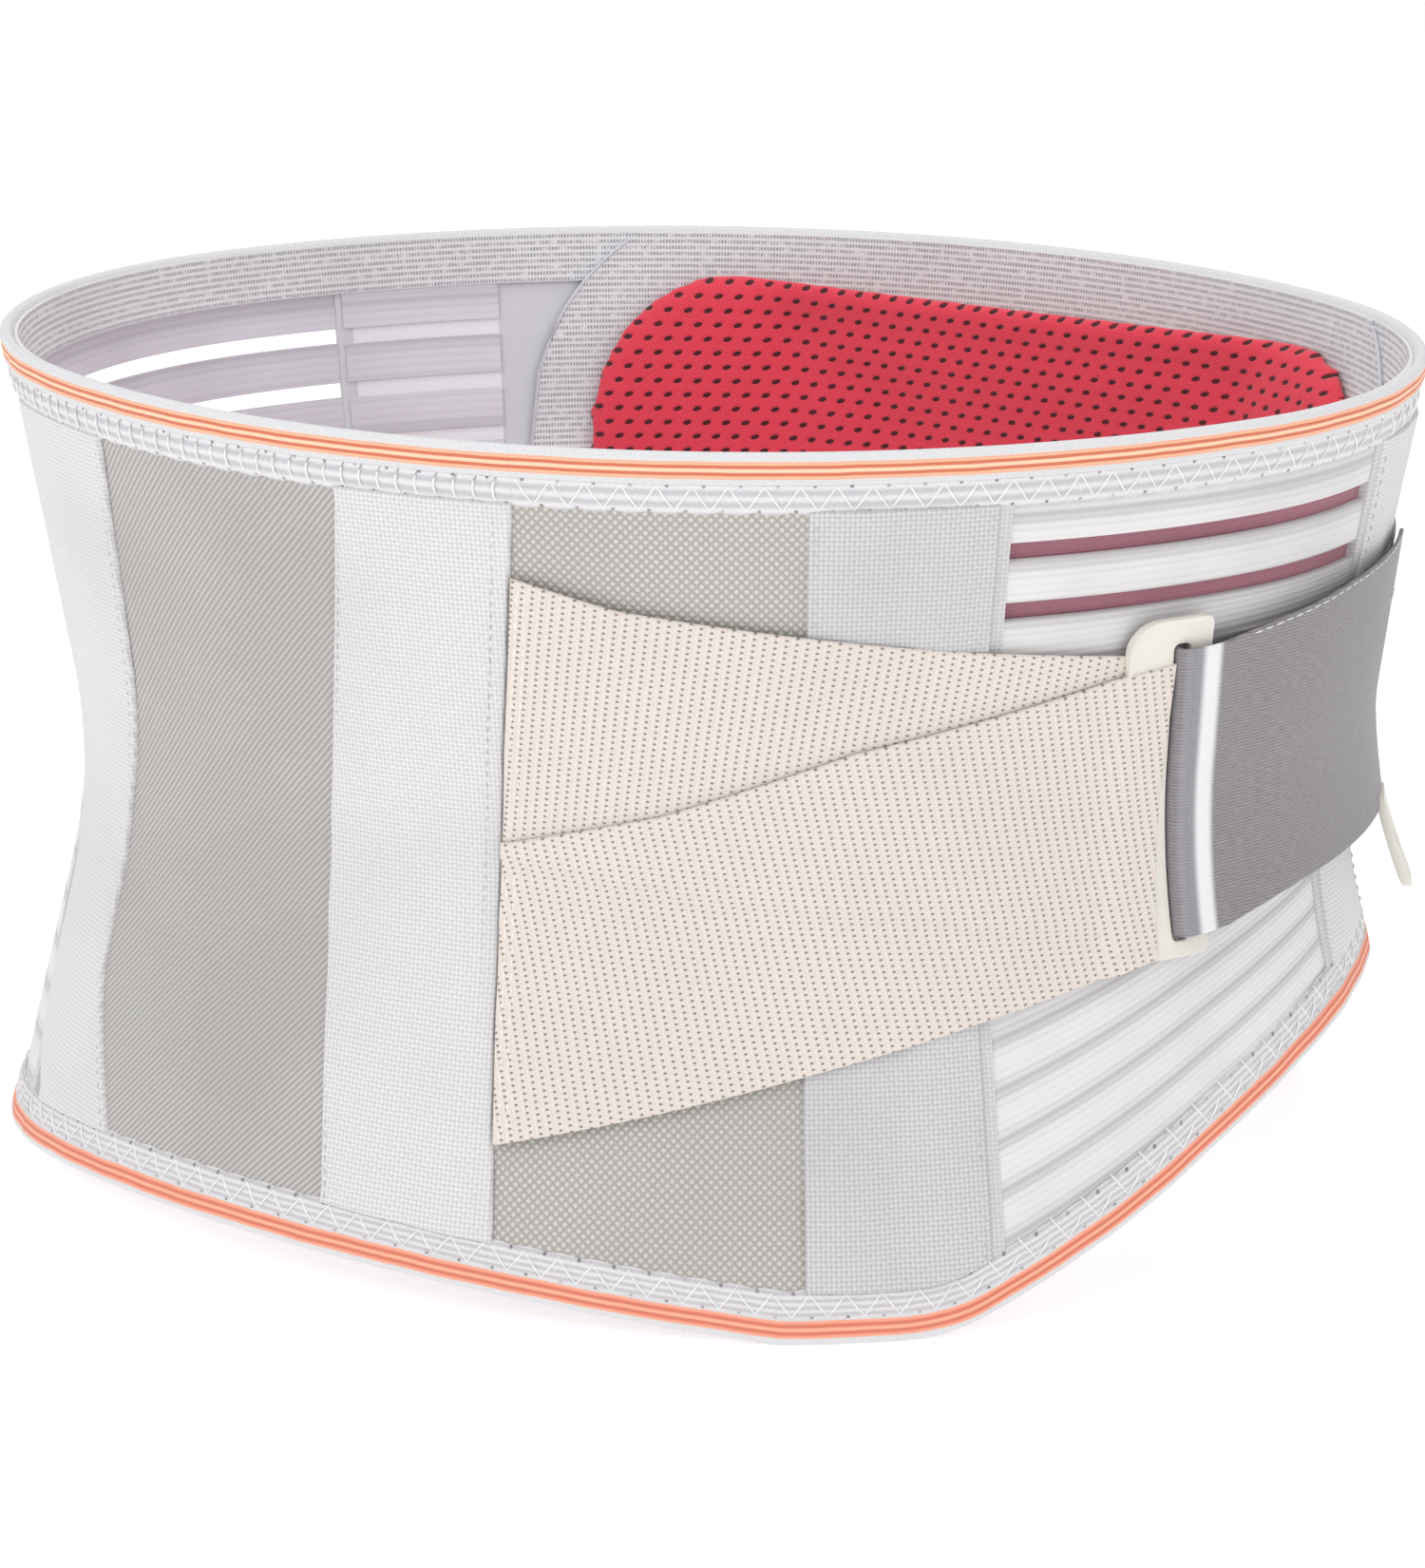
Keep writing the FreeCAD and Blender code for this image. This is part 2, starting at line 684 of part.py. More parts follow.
def build_bindings():
    """Bindings, stitched tapes and facing of the part that isn't the flap."""
    edges = [size("flap_edge") + SEAM_GAP, size("elastic_rear"), size("far_elastic_rear"),
             size("flap_rear") + LOOP - SEAM_GAP]
    for side, start, end in zip(("left", "back", "right"), edges, edges[1:]):
        keep("top_binding_" + side, top_band("top_binding_" + side, start, end))
        keep("hem_binding_" + side, hem_band("hem_binding_" + side, start, end))
    keep("top_seam", top_seam("top_seam", edges[0], edges[-1]))
    keep("hem_seam", hem_seam("hem_seam", edges[0], edges[-1]))
    keep("top_facing", facing("top_facing", edges[0], edges[-1]))


def strap_layers():
    """Distances outwards of the strap layers, from the cloth out."""
    lift = size("strap_lift")
    thick = size("strap_thick")
    gap = size("layer_gap")
    above = lift + thick + gap
    plate_top = above + size("plate_thick")
    return {
        "under": (lift, lift + thick),
        "over": (above, above + thick),
        "plate": (above, plate_top),
        "tail": (plate_top + gap, plate_top + gap + thick),
    }


def build_straps(side, front, plate, way, anchor):
    """Crossed elastic straps, slotted plate, cinch strap and its folded tail on one side.

    front is where the elastic straps are sewn, plate is the plate's front edge, and way is 1 where the
    straps run towards higher arc lengths and -1 where they run the other way.
    """
    layers = strap_layers()
    middle = (front + plate) / 2

    def along(distance):
        return plate + way * distance

    def span(first, last):
        return (first, last) if first < last else (last, first)

    band_span = span(front, plate)
    beyond = 3.0
    under = wall_piece(side + "_under_strap_blank", *band_span, *layers["under"], 30.0, 205.0)
    under_line = [(front - way * beyond, size("under_front_high")), (along(beyond), size("under_plate_high")),
                  (along(beyond), size("under_plate_low")), (front - way * beyond, size("under_front_low"))]
    under_tool = outline_tool(side + "_under_strap", under_line, [0, 0, 0, 0], middle)
    keep(side + "_under_strap", common(side + "_under_strap", under, under_tool))
    over = wall_piece(side + "_over_strap_blank", *band_span, *layers["over"], 30.0, 205.0)
    over_line = [(front - way * beyond, size("over_front_high")), (along(beyond), size("over_plate_high")),
                 (along(beyond), size("over_plate_low")), (front - way * beyond, size("over_front_low"))]
    over_tool = outline_tool(side + "_over_strap", over_line, [0, 0, 0, 0], middle)
    keep(side + "_over_strap", common(side + "_over_strap", over, over_tool))

    length = size("plate_length")
    slot_start = size("slot_start")
    slot_end = slot_start + size("slot_gap")
    plate_in, plate_out = layers["under"][0], layers["plate"][1]
    solid = wall_piece(side + "_plate_blank", *span(along(0.0), along(length)), plate_in, plate_out,
                       size("plate_low"), size("plate_high"))
    corners = [(along(0.0), size("plate_low")), (along(length), size("plate_low")),
               (along(length), size("plate_high")), (along(0.0), size("plate_high"))]
    radius = size("plate_radius")
    shaped = common(side + "_plate_shape", solid,
                    outline_tool(side + "_plate", corners, [radius, 2.0, 2.0, radius], along(length / 2)))
    slot = wall_piece(side + "_plate_slot", *span(along(slot_start), along(slot_end)), plate_in - 2.0,
                      plate_out + 2.0, size("slot_low"), size("slot_top"))
    relief = wall_piece(side + "_plate_relief", *span(along(slot_end - 0.5), along(length + 1.0)),
                        plate_in - 2.0, layers["plate"][0], size("slot_low"), size("slot_top"))
    keep(side + "_plate", cut(side + "_plate", shaped, fuse(side + "_plate_cuts", [slot, relief])))

    strap_low, strap_high = size("cinch_low"), size("cinch_high")
    rise = size("tail_rise")
    fold_start, fold_end = slot_start + 1.0, slot_end - 0.6
    runs_to = abs(anchor - plate)
    inner = wall_piece(side + "_cinch_blank", *span(along(fold_end), anchor), *layers["under"], 60.0, 205.0)
    inner_line = [(along(fold_end - 3.0), strap_low), (along(runs_to * 0.62), strap_low + rise),
                  (anchor + way * 3.0, strap_low + rise), (anchor + way * 3.0, strap_high + rise),
                  (along(runs_to * 0.62), strap_high + rise), (along(fold_end - 3.0), strap_high)]
    inner_tool = outline_tool(side + "_cinch", inner_line, [0, 60, 0, 0, 60, 0], (plate + anchor) / 2, 70.0)
    run = common(side + "_cinch_run", inner, inner_tool)
    fold = wall_piece(side + "_cinch_fold", *span(along(fold_start), along(fold_end)),
                      layers["under"][0], layers["tail"][1], strap_low, strap_high)
    keep(side + "_cinch_strap", fuse(side + "_cinch_strap", [run, fold]))

    tail_start = fold_end + 0.4
    tail_end = tail_start + size("tail_length")
    tail = wall_piece(side + "_tail_blank", *span(along(tail_start), along(tail_end)), *layers["tail"],
                      60.0, 205.0)
    tail_line = [(along(tail_start - 3.0), strap_low), (along(tail_end), strap_low + rise),
                 (along(tail_end), strap_high + rise), (along(tail_start - 3.0), strap_high)]
    tail_corner = size("tail_corner")
    tail_tool = outline_tool(side + "_tail", tail_line, [0, tail_corner, tail_corner, 0],
                             along((tail_start + tail_end) / 2), 60.0)
    keep(side + "_tail_strap", common(side + "_tail_strap", tail, tail_tool))
    tail_in, tail_out = layers["tail"]
    hook_end = tail_end - size("tail_hook_margin")
    hook_start = hook_end - size("tail_hook_length")
    keep(side + "_tail_hook", wall_piece(side + "_tail_hook", *span(along(hook_start), along(hook_end)),
                                         layers["under"][1] + 0.5, tail_in, strap_low + rise + 6.0,
                                         strap_high - 4.0))
    tab_start = along(tail_end - size("tab_lap"))
    tab_end = along(tail_end - size("tab_lap") + size("tab_length"))
    tab_low = size("tab_low")
    tab_high = tab_low + size("tab_width")
    tab_rim = size("tab_rim")
    tab = wall_piece(side + "_tab_blank", *span(tab_start, tab_end), tail_out, tail_out + size("tab_thick"),
                     tab_low, tab_high)
    tab_line = [(tab_start, tab_low), (tab_end, tab_low), (tab_end, tab_high), (tab_start, tab_high)]
    tab_shape = common(side + "_tab_shape", tab, outline_tool(
        side + "_tab", tab_line, [3.0, 11.0, 11.0, 3.0], (tab_start + tab_end) / 2))
    hole_start, hole_end = tab_start + way * 9.0, tab_end - way * 5.0
    hole_line = [(hole_start, tab_low + tab_rim), (hole_end, tab_low + tab_rim),
                 (hole_end, tab_high - tab_rim), (hole_start, tab_high - tab_rim)]
    hole = outline_tool(side + "_tab_hole", hole_line, [4.0] * 4, (tab_start + tab_end) / 2)
    keep(side + "_pull_tab", cut(side + "_pull_tab", tab_shape, hole))


def build_anchor_cover():
    """Cover on the back that both cinch straps are sewn under."""
    centre = size("back_centre")
    low, high = strap_layers()["over"]
    blank = wall_piece("strap_cover_blank", centre - 84.0, centre + 84.0, low, high, 60.0, 205.0)
    corners = [(centre - 82.0, 92.0), (centre + 82.0, 92.0), (centre + 82.0, 196.0), (centre - 82.0, 196.0)]
    keep("back_strap_cover", common("back_strap_cover", blank, outline_tool(
        "strap_cover", corners, [14.0] * 4, centre)))


def pad_outline(half, low, high, radius, centre):
    """Corners and corner radii of the lumbar pad or its panel."""
    corners = [(centre - half, low), (centre + half, low), (centre + half, high), (centre - half, high)]
    return corners, [radius * 0.6, radius * 0.6, radius, radius]


def build_pad():
    """Mesh panel inside the back and the lumbar pad that fastens to it."""
    centre = size("back_centre")
    half = size("mesh_half_width")
    mesh = panel("mesh_panel_web", centre - half, centre + half, FACING_IN, LINING_IN,
                 TOP - size("facing_depth"))
    corners, radii = pad_outline(half - 1.0, 20.0, TOP + 10.0, size("mesh_radius"), centre)
    keep("lumbar_mesh_panel", common("lumbar_mesh_panel", mesh, outline_tool(
        "mesh_panel", corners, radii, centre, 90.0)))

    hook_out = FACING_IN - size("pad_gap")
    pad_out = hook_out - size("hook_thick")
    pad_in = pad_out - size("pad_thick")
    half = size("pad_half_width")
    low, high = size("pad_low"), size("pad_high")
    skin = size("pad_skin")
    shells = {}
    for layer, inset in (("cover", 0.0), ("core", skin)):
        blank = wall_piece("pad_%s_blank" % layer, centre - half + inset, centre + half - inset,
                           pad_in + inset, pad_out - inset, low + inset, high - inset)
        radius = size("pad_radius") - inset
        corners, radii = pad_outline(half - inset, low + inset, high - inset, radius, centre)
        shells[layer] = common("pad_%s_shape" % layer, blank, outline_tool(
            "pad_" + layer, corners, radii, centre, 90.0))
    keep("lumbar_pad_core", shells["core"])
    keep("lumbar_pad_cover", cut("lumbar_pad_cover", shells["cover"], shells["core"]))
    patches = []
    for index, (first, last) in enumerate(((-110.0, -80.0), (80.0, 110.0))):
        patches.append(wall_piece("pad_hook_patch_%d" % index, centre + first, centre + last,
                                  pad_out, hook_out, 84.0, 176.0))
    keep("pad_hook_patches", group("pad_hook_patches", patches))


build_front()
build_flap()
build_sides()
build_back()
build_bindings()
build_straps("left", size("flap_edge") + SEAM_GAP + 0.2, size("left_plate_front"), 1,
             size("back_centre") - size("anchor_half_gap"))
build_straps("right", LOOP - size("right_strap_front"), LOOP - size("right_plate_front"), -1,
             size("back_centre") + size("anchor_half_gap"))
build_anchor_cover()
build_pad()
doc.recompute()

for item in doc.Objects:
    assert "Invalid" not in item.State and "Error" not in item.State, item.Name
under_floor = Part.makeBox(600, 600, 100, FreeCAD.Vector(-300, -300, -100.02))
for name, item in NODES.items():
    shape = item.Shape
    assert not shape.isNull() and shape.isValid() and shape.Solids, name
    assert shape.common(under_floor).Volume < 0.01, name + " reaches below the surface it stands on"

os.makedirs("parts", exist_ok=True)
for name, item in NODES.items():
    item.Shape.exportStep("parts/%s.step" % name)
print(len(NODES), "nodes written")
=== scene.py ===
"""Looks of a lumbar support belt that stands closed on its hem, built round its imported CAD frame."""
from __future__ import annotations

import json
import logging
import math
from dataclasses import dataclass, field
from enum import Enum
from typing import Callable, Sequence

import bpy
import numpy as np
from mathutils import Matrix, Vector

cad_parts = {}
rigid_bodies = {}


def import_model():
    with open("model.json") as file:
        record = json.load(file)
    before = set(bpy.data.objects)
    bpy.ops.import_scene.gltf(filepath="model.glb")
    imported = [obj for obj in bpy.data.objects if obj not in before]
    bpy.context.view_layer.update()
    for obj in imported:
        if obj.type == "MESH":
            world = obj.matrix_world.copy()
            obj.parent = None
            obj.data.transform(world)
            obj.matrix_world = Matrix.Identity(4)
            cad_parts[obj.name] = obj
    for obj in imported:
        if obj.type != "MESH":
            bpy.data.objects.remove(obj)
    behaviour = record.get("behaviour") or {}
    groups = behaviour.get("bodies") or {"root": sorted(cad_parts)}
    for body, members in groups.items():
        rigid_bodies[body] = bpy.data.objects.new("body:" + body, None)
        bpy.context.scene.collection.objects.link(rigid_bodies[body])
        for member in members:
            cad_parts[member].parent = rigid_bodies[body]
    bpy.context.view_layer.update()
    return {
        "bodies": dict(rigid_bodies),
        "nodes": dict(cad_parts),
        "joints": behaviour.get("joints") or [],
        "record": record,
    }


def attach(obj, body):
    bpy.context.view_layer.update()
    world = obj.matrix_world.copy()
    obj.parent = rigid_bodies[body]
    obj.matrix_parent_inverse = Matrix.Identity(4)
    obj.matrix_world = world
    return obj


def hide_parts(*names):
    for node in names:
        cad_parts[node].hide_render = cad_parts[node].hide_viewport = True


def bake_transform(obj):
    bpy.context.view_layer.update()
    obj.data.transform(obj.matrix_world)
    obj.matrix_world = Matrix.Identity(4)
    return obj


LOG = logging.getLogger("belt")
MM = 0.001
UV_NAME = "cloth"
Array = np.ndarray


# ------------------------------------------------------------------ form of the belt's wall

@dataclass(frozen=True)
class HemArch:
    """One arch that the hem rises over, seen from outside along its heading.

    A crown of two tangent arcs runs down into straight slopes. Lengths are in millimetres.
    """

    heading: tuple[float, float]
    peak: float
    rise: float
    radius: float
    rear_radius: float
    lean: float
    rear_lean: float
    blend: float = 30.0
    outside: float = 60.0

    def height(self, x: Array, y: Array) -> Array:
        """Hem height that the arch gives at points of the wall.

        Args:
            x: Places along X.
            y: Places along Y.

        Returns:
            Height above the surface the belt stands on, never below 0.
        """
        length = math.hypot(*self.heading)
        ahead_x, ahead_y = self.heading[0] / length, self.heading[1] / length
        along = x * ahead_x + y * ahead_y - self.peak
        out = x * ahead_y - y * ahead_x
        radius = np.where(along < 0, self.radius, self.rear_radius)
        lean = np.where(along < 0, self.lean, self.rear_lean)
        reach = np.abs(along)
        tangent = radius * np.sin(lean)
        crown = self.rise - (radius - np.sqrt(np.maximum(radius ** 2 - np.minimum(reach, tangent) ** 2, 0)))
        slope = np.maximum(reach - tangent, 0) * np.tan(lean)
        height = np.maximum(crown - slope, 0)
        if self.blend > 0:
            foot = tangent + (self.rise - radius * (1 - np.cos(lean))) / np.tan(lean)
            half = self.blend * np.tan(lean / 2)
            flat = foot + half - reach
            bend = self.blend - np.sqrt(np.maximum(self.blend ** 2 - flat ** 2, 0))
            height = np.where((flat > 0) & (reach > foot - half * np.cos(lean)), bend, height)
        return np.where(out > self.outside, height, 0)


@dataclass(frozen=True)
class BeltForm:
    """The wall of the belt: a four-arc oval in plan with an hourglass profile in height, in millimetres.

    A place on the wall is its arc length from the middle of the -Y side towards +X, its height, and its
    distance outwards from the outer face of the base cloth.
    """

    end_radius: float = 118.0
    end_centre: float = 75.0
    side_centre: float = 70.0
    shift: tuple[float, float] = (0.3, -0.7)
    height: float = 230.0
    waist_height: float = 115.0
    waist_radius: float = 156.0
    waist_depth: float = 17.0
    waist_below: float = 38.0
    waist_above: float = 26.0
    arches: tuple[HemArch, ...] = (
        HemArch((0.931, -0.366), -35.0, 11.4, 850.0, 850.0, 0.3, 0.3, 0.0),
        HemArch((0.246, 0.969), 50.0, 61.0, 200.0, 70.0, math.radians(29.2), math.radians(45)),
        HemArch((-0.735, -0.678), 20.0, 61.0, 120.0, 150.0, math.radians(35), math.radians(35)),
    )

    @property
    def side_radius(self) -> float:
        """Radius of the two long arcs."""
        return self.end_radius + math.hypot(self.end_centre, self.side_centre)

    @property
    def split(self) -> float:
        """Half the angle of an end arc."""
        return math.atan2(self.side_centre, self.end_centre)

    @property
    def half_side(self) -> float:
        """Half the length of a long arc."""
        return self.side_radius * (math.pi / 2 - self.split)

    @property
    def loop(self) -> float:
        """Length once round the oval."""
        return 4 * self.half_side + 4 * self.end_radius * self.split

    def arcs(self) -> list[tuple[float, float, float, float, float]]:
        """The four arcs, each as (start length, start angle, radius, centre x, centre y)."""
        found = []
        reach = -self.half_side
        angle = -math.pi + self.split
        for along, across in ((0, 1), (1, 0), (0, -1), (-1, 0)):
            radius = self.end_radius if along else self.side_radius
            length = 2 * self.end_radius * self.split if along else 2 * self.half_side
            centre = (along * self.end_centre + self.shift[0], across * self.side_centre + self.shift[1])
            found.append((reach, angle, radius, *centre))
            reach += length
            angle += length / radius
        return found

    def hourglass(self, z: Array) -> Array:
        """Distance outwards of the base cloth from the oval: an arc at the waist between straight flares."""
        rise = np.asarray(z, float) - self.waist_height
        reach = np.clip(rise, -self.waist_below, self.waist_above)
        deep = np.sqrt(self.waist_radius ** 2 - reach ** 2)
        return self.waist_radius - self.waist_depth - deep + (rise - reach) * reach / deep

    def place(self, s: Array, z: Array, out: Array) -> Array:
        """Points of the wall.

        Args:
            s: Arc lengths.
            z: Heights.
            out: Distances outwards.

        Returns:
            Points in millimetres, with the last axis x, y, z.
        """
        s, z, out = np.broadcast_arrays(*(np.asarray(v, float) for v in (s, z, out)))
        place = (s + self.half_side) % self.loop - self.half_side
        angle, radius, cx, cy = (np.zeros(s.shape) for _ in range(4))
        for start, first, bend, x, y in self.arcs():
            on = place >= start - 1e-9
            angle = np.where(on, first + (place - start) / bend, angle)
            radius, cx, cy = np.where(on, bend, radius), np.where(on, x, cx), np.where(on, y, cy)
        reach = radius + self.hourglass(z) + out
        return np.stack([cx + reach * np.cos(angle), cy + reach * np.sin(angle), z], axis=-1)

    def unwrap(self, points: Array, near: float) -> Array:
        """Arc lengths of points by the wall, counted so that they lie near a given one.

        Args:
            points: Points in millimetres.
            near: Arc length that the answers are closest to.

        Returns:
            One arc length for each point.
        """
        best = np.zeros(len(points))
        miss = np.full(len(points), np.inf)
        for start, first, bend, x, y in self.arcs():
            angle = np.arctan2(points[:, 1] - y, points[:, 0] - x)
            half = (self.half_side if bend > self.end_radius else self.end_radius * self.split) / bend
            turn = (angle - first - half + math.pi) % (2 * math.pi) - math.pi
            wrong = np.maximum(np.abs(turn) - half, 0)
            closer = wrong < miss
            best = np.where(closer, start + (turn + half) * bend, best)
            miss = np.where(closer, wrong, miss)
        return (best - near + self.loop / 2) % self.loop - self.loop / 2 + near

    def hem(self, s: Array) -> Array:
        """Height of the hem's lower edge at arc lengths."""
        s = np.asarray(s, float)
        height = np.zeros(s.shape)
        for _ in range(3):
            points = self.place(s, height, 0.0)
            x, y = points[..., 0] - self.shift[0], points[..., 1] - self.shift[1]
            height = np.max([arch.height(x, y) for arch in self.arches], axis=0)
        return height


FORM = BeltForm()


class Seam(float, Enum):
    """Arc lengths of the seams round the belt, in millimetres."""

    FLAP_REAR = -206.0
    TWILL_REAR = -157.0
    FLAP_STRIP = -73.0
    FLAP_EDGE = -24.0
    FRONT_STRIP = 57.0
    ELASTIC_FRONT = 105.0
    ELASTIC_REAR = 235.0
    BACK_STRIP = 283.0
    BACK_CENTRE = 459.0
    FAR_STRIP = 635.0
    FAR_ELASTIC = 683.0
    FAR_FRONT = 871.46


SWAYS = {
    Seam.FLAP_REAR: ((20, 31, 41, 50, 80, 215), (8.3, 0.3, -2.5, -5.0, -5.0, 0.0)),
    Seam.TWILL_REAR: ((22, 38, 52, 62, 77, 92, 108, 128, 148, 168, 193, 210),
                      (1.1, -6.8, -12.9, -15.7, -16.6, -14.1, -12.1, -7.2, -2.5, -0.2, 2.6, 4.7)),
    Seam.FLAP_STRIP: ((27, 55, 72, 98, 126, 155, 183, 211), (-0.2, -3.6, -5.5, -7.8, -6.4, -1.6, 3.0, 7.2)),
    Seam.FLAP_EDGE: ((25, 46, 63, 79, 104, 126, 148, 170, 196, 213),
                     (0.8, -0.7, -1.7, -2.6, -2.8, -1.5, 0.4, 3.0, 5.6, 7.2)),
}


def sway(seam: Seam) -> Callable[[Array], Array]:
    """How far a seam strays from its arc length, as a function of height."""
    heights, offsets = SWAYS.get(seam, ((0, 1), (0, 0)))
    return lambda z: np.interp(z, heights, offsets)


class Body(str, Enum):
    """The moving bodies of the CAD frame."""

    BELT = "belt"
    FLAP = "flap"
    LEFT_TAIL = "left_tail"
    RIGHT_TAIL = "right_tail"
    PAD = "lumbar_pad"


# ------------------------------------------------------------------ shader expressions

class Sock:
    """A node socket that takes part in Python arithmetic by adding Math nodes."""

    def __init__(self, graph: "Graph", socket: bpy.types.NodeSocket) -> None:
        """Holds the socket and the graph it belongs to."""
        self.graph = graph
        self.socket = socket

    def _do(self, operation: str, *others: "Sock | float") -> "Sock":
        """Result of a Math operation on this value and others."""
        return self.graph.node("ShaderNodeMath", {"operation": operation}, [self, *others])

    def __add__(self, other: "Sock | float") -> "Sock":
        """Sum."""
        return self._do("ADD", other)

    __radd__ = __add__

    def __sub__(self, other: "Sock | float") -> "Sock":
        """Difference."""
        return self._do("SUBTRACT", other)

    def __rsub__(self, other: float) -> "Sock":
        """Reflected difference."""
        return self.graph.node("ShaderNodeMath", {"operation": "SUBTRACT"}, [other, self])

    def __mul__(self, other: "Sock | float") -> "Sock":
        """Product."""
        return self._do("MULTIPLY", other)

    __rmul__ = __mul__

    def __truediv__(self, other: "Sock | float") -> "Sock":
        """Quotient."""
        return self._do("DIVIDE", other)

    def sine(self) -> "Sock":
        """Sine."""
        return self._do("SINE")

    def abs(self) -> "Sock":
        """Size without its sign."""
        return self._do("ABSOLUTE")

    def fract(self) -> "Sock":
        """Part after the decimal point."""
        return self._do("FRACT")

    def floor(self) -> "Sock":
        """Whole part."""
        return self._do("FLOOR")

    def modulo(self, other: float) -> "Sock":
        """Remainder, never negative."""
        return self._do("FLOORED_MODULO", other)

    def power(self, other: float) -> "Sock":
        """Power."""
        return self._do("POWER", other)

    def root(self) -> "Sock":
        """Square root."""
        return self._do("SQRT")

    def low(self, other: "Sock | float") -> "Sock":
        """Smaller of two values."""
        return self._do("MINIMUM", other)

    def high(self, other: "Sock | float") -> "Sock":
        """Larger of two values."""
        return self._do("MAXIMUM", other)

    def step(self, start: float, end: float) -> "Sock":
        """Smooth rise from 0 at start to 1 at end, which may be the smaller."""
        return self.graph.node("ShaderNodeMapRange", {"interpolation_type": "SMOOTHSTEP"},
                               {"Value": self, "From Min": start, "From Max": end})

    def band(self, centre: float, half: float, soft: float) -> "Sock":
        """1 within half of a centre, and 0 beyond a soft edge."""
        return (self - centre).abs().step(half + soft, half)

    def wave(self, pitch: float) -> "Sock":
        """Sine wave of a pitch, from 0 to 1."""
        return (self * (2 * math.pi / pitch)).sine() * 0.5 + 0.5


class Graph:
    """Node tree of one material, with the surface shader at its end."""

    def __init__(self, name: str) -> None:
        """Makes an empty material with a Principled shader."""
        self.material = bpy.data.materials.new(name)
        self.material.use_nodes = True
        self.tree = self.material.node_tree
        self.tree.nodes.clear()
        self.shader = self.tree.nodes.new("ShaderNodeBsdfPrincipled")
        output = self.tree.nodes.new("ShaderNodeOutputMaterial")
        self.tree.links.new(self.shader.outputs[0], output.inputs[0])

    def node(self, kind: str, settings: dict | None = None,
             values: dict | Sequence | None = None, output: int | str = 0) -> Sock:
        """Adds a node.

        Args:
            kind: Blender's name of the node type.
            settings: The node's own settings, set before its inputs.
            values: Values or links of its inputs, by name or in order.
            output: Which output is returned.

        Returns:
            That output.
        """
        node = self.tree.nodes.new(kind)
        for name, value in (settings or {}).items():
            setattr(node, name, value)
        pairs = values.items() if isinstance(values, dict) else enumerate(values or [])
        for key, value in pairs:
            self.feed(node.inputs[key], value)
        return Sock(self, node.outputs[output])

    def feed(self, socket: bpy.types.NodeSocket, value: "Sock | float | Sequence") -> None:
        """Links a value to a socket, or sets it there."""
        if isinstance(value, Sock):
            self.tree.links.new(value.socket, socket)
        else:
            socket.default_value = value

    def uv(self) -> tuple[Sock, Sock]:
        """The cloth's own coordinates, in millimetres."""
        vector = self.node("ShaderNodeUVMap", {"uv_map": UV_NAME})
        u = self.node("ShaderNodeSeparateXYZ", None, [vector], 0)
        v = self.node("ShaderNodeSeparateXYZ", None, [vector], 1)
        return u * (1 / MM), v * (1 / MM)

    def object_noise(self, scale: float, detail: float = 2.0) -> Sock:
        """Noise over the object's own coordinates, from 0 to 1."""
        place = self.node("ShaderNodeTexCoord", None, None, "Object")
        return self.node("ShaderNodeTexNoise", None, {"Vector": place, "Scale": scale, "Detail": detail})

    def plane_noise(self, u: Sock, v: Sock, detail: float = 2.0) -> Sock:
        """Noise over two values taken as a plane's coordinates."""
        place = self.node("ShaderNodeCombineXYZ", None, [u, v])
        return self.node("ShaderNodeTexNoise", None, {"Vector": place, "Scale": 1.0, "Detail": detail})

    def mix(self, factor: "Sock | float", first: "Sock | Sequence", second: "Sock | Sequence") -> Sock:
        """Colour between two colours."""
        node = self.tree.nodes.new("ShaderNodeMix")
        node.data_type = "RGBA"
        for socket, value in zip((node.inputs[0], node.inputs[6], node.inputs[7]), (factor, first, second)):
            self.feed(socket, rgba(value) if isinstance(value, tuple) else value)
        return Sock(self, node.outputs[2])

    def close(self, colour: "Sock | tuple", rough: "Sock | float", height: Sock | None, depth: float,
              **plain: float) -> bpy.types.Material:
        """Feeds the shader.

        Args:
            colour: Base colour.
            rough: Roughness.
            height: Relief from 0 to 1, or None for none.
            depth: Depth of the relief in millimetres.
            plain: Values that are the same all over, by the shader's input names with _ for a space.

        Returns:
            The finished material.
        """
        self.feed(self.shader.inputs["Base Color"], rgba(colour) if isinstance(colour, tuple) else colour)
        self.feed(self.shader.inputs["Roughness"], rough)
        for name, value in plain.items():
            self.shader.inputs[name.replace("_", " ")].default_value = value
        if height is not None:
            values = {"Height": height, "Strength": 1.0, "Distance": depth * MM}
            bump = self.node("ShaderNodeBump", None, values)
            self.feed(self.shader.inputs["Normal"], bump)
        return self.material


def rgba(colour: Sequence[float]) -> tuple[float, float, float, float]:
    """Linear colour with alpha, from display values of 0 to 255."""
    return (*(((c / 255 + 0.055) / 1.055) ** 2.4 for c in colour), 1.0)


Colour = tuple[float, float, float]


# ------------------------------------------------------------------ finishes

class Weave(Enum):
    """Weaves that a woven cloth can have."""

    TWILL = "twill"
    DIAMOND = "diamond"
    PLAIN = "plain"
    KNIT = "knit"
    SMOOTH = "smooth"


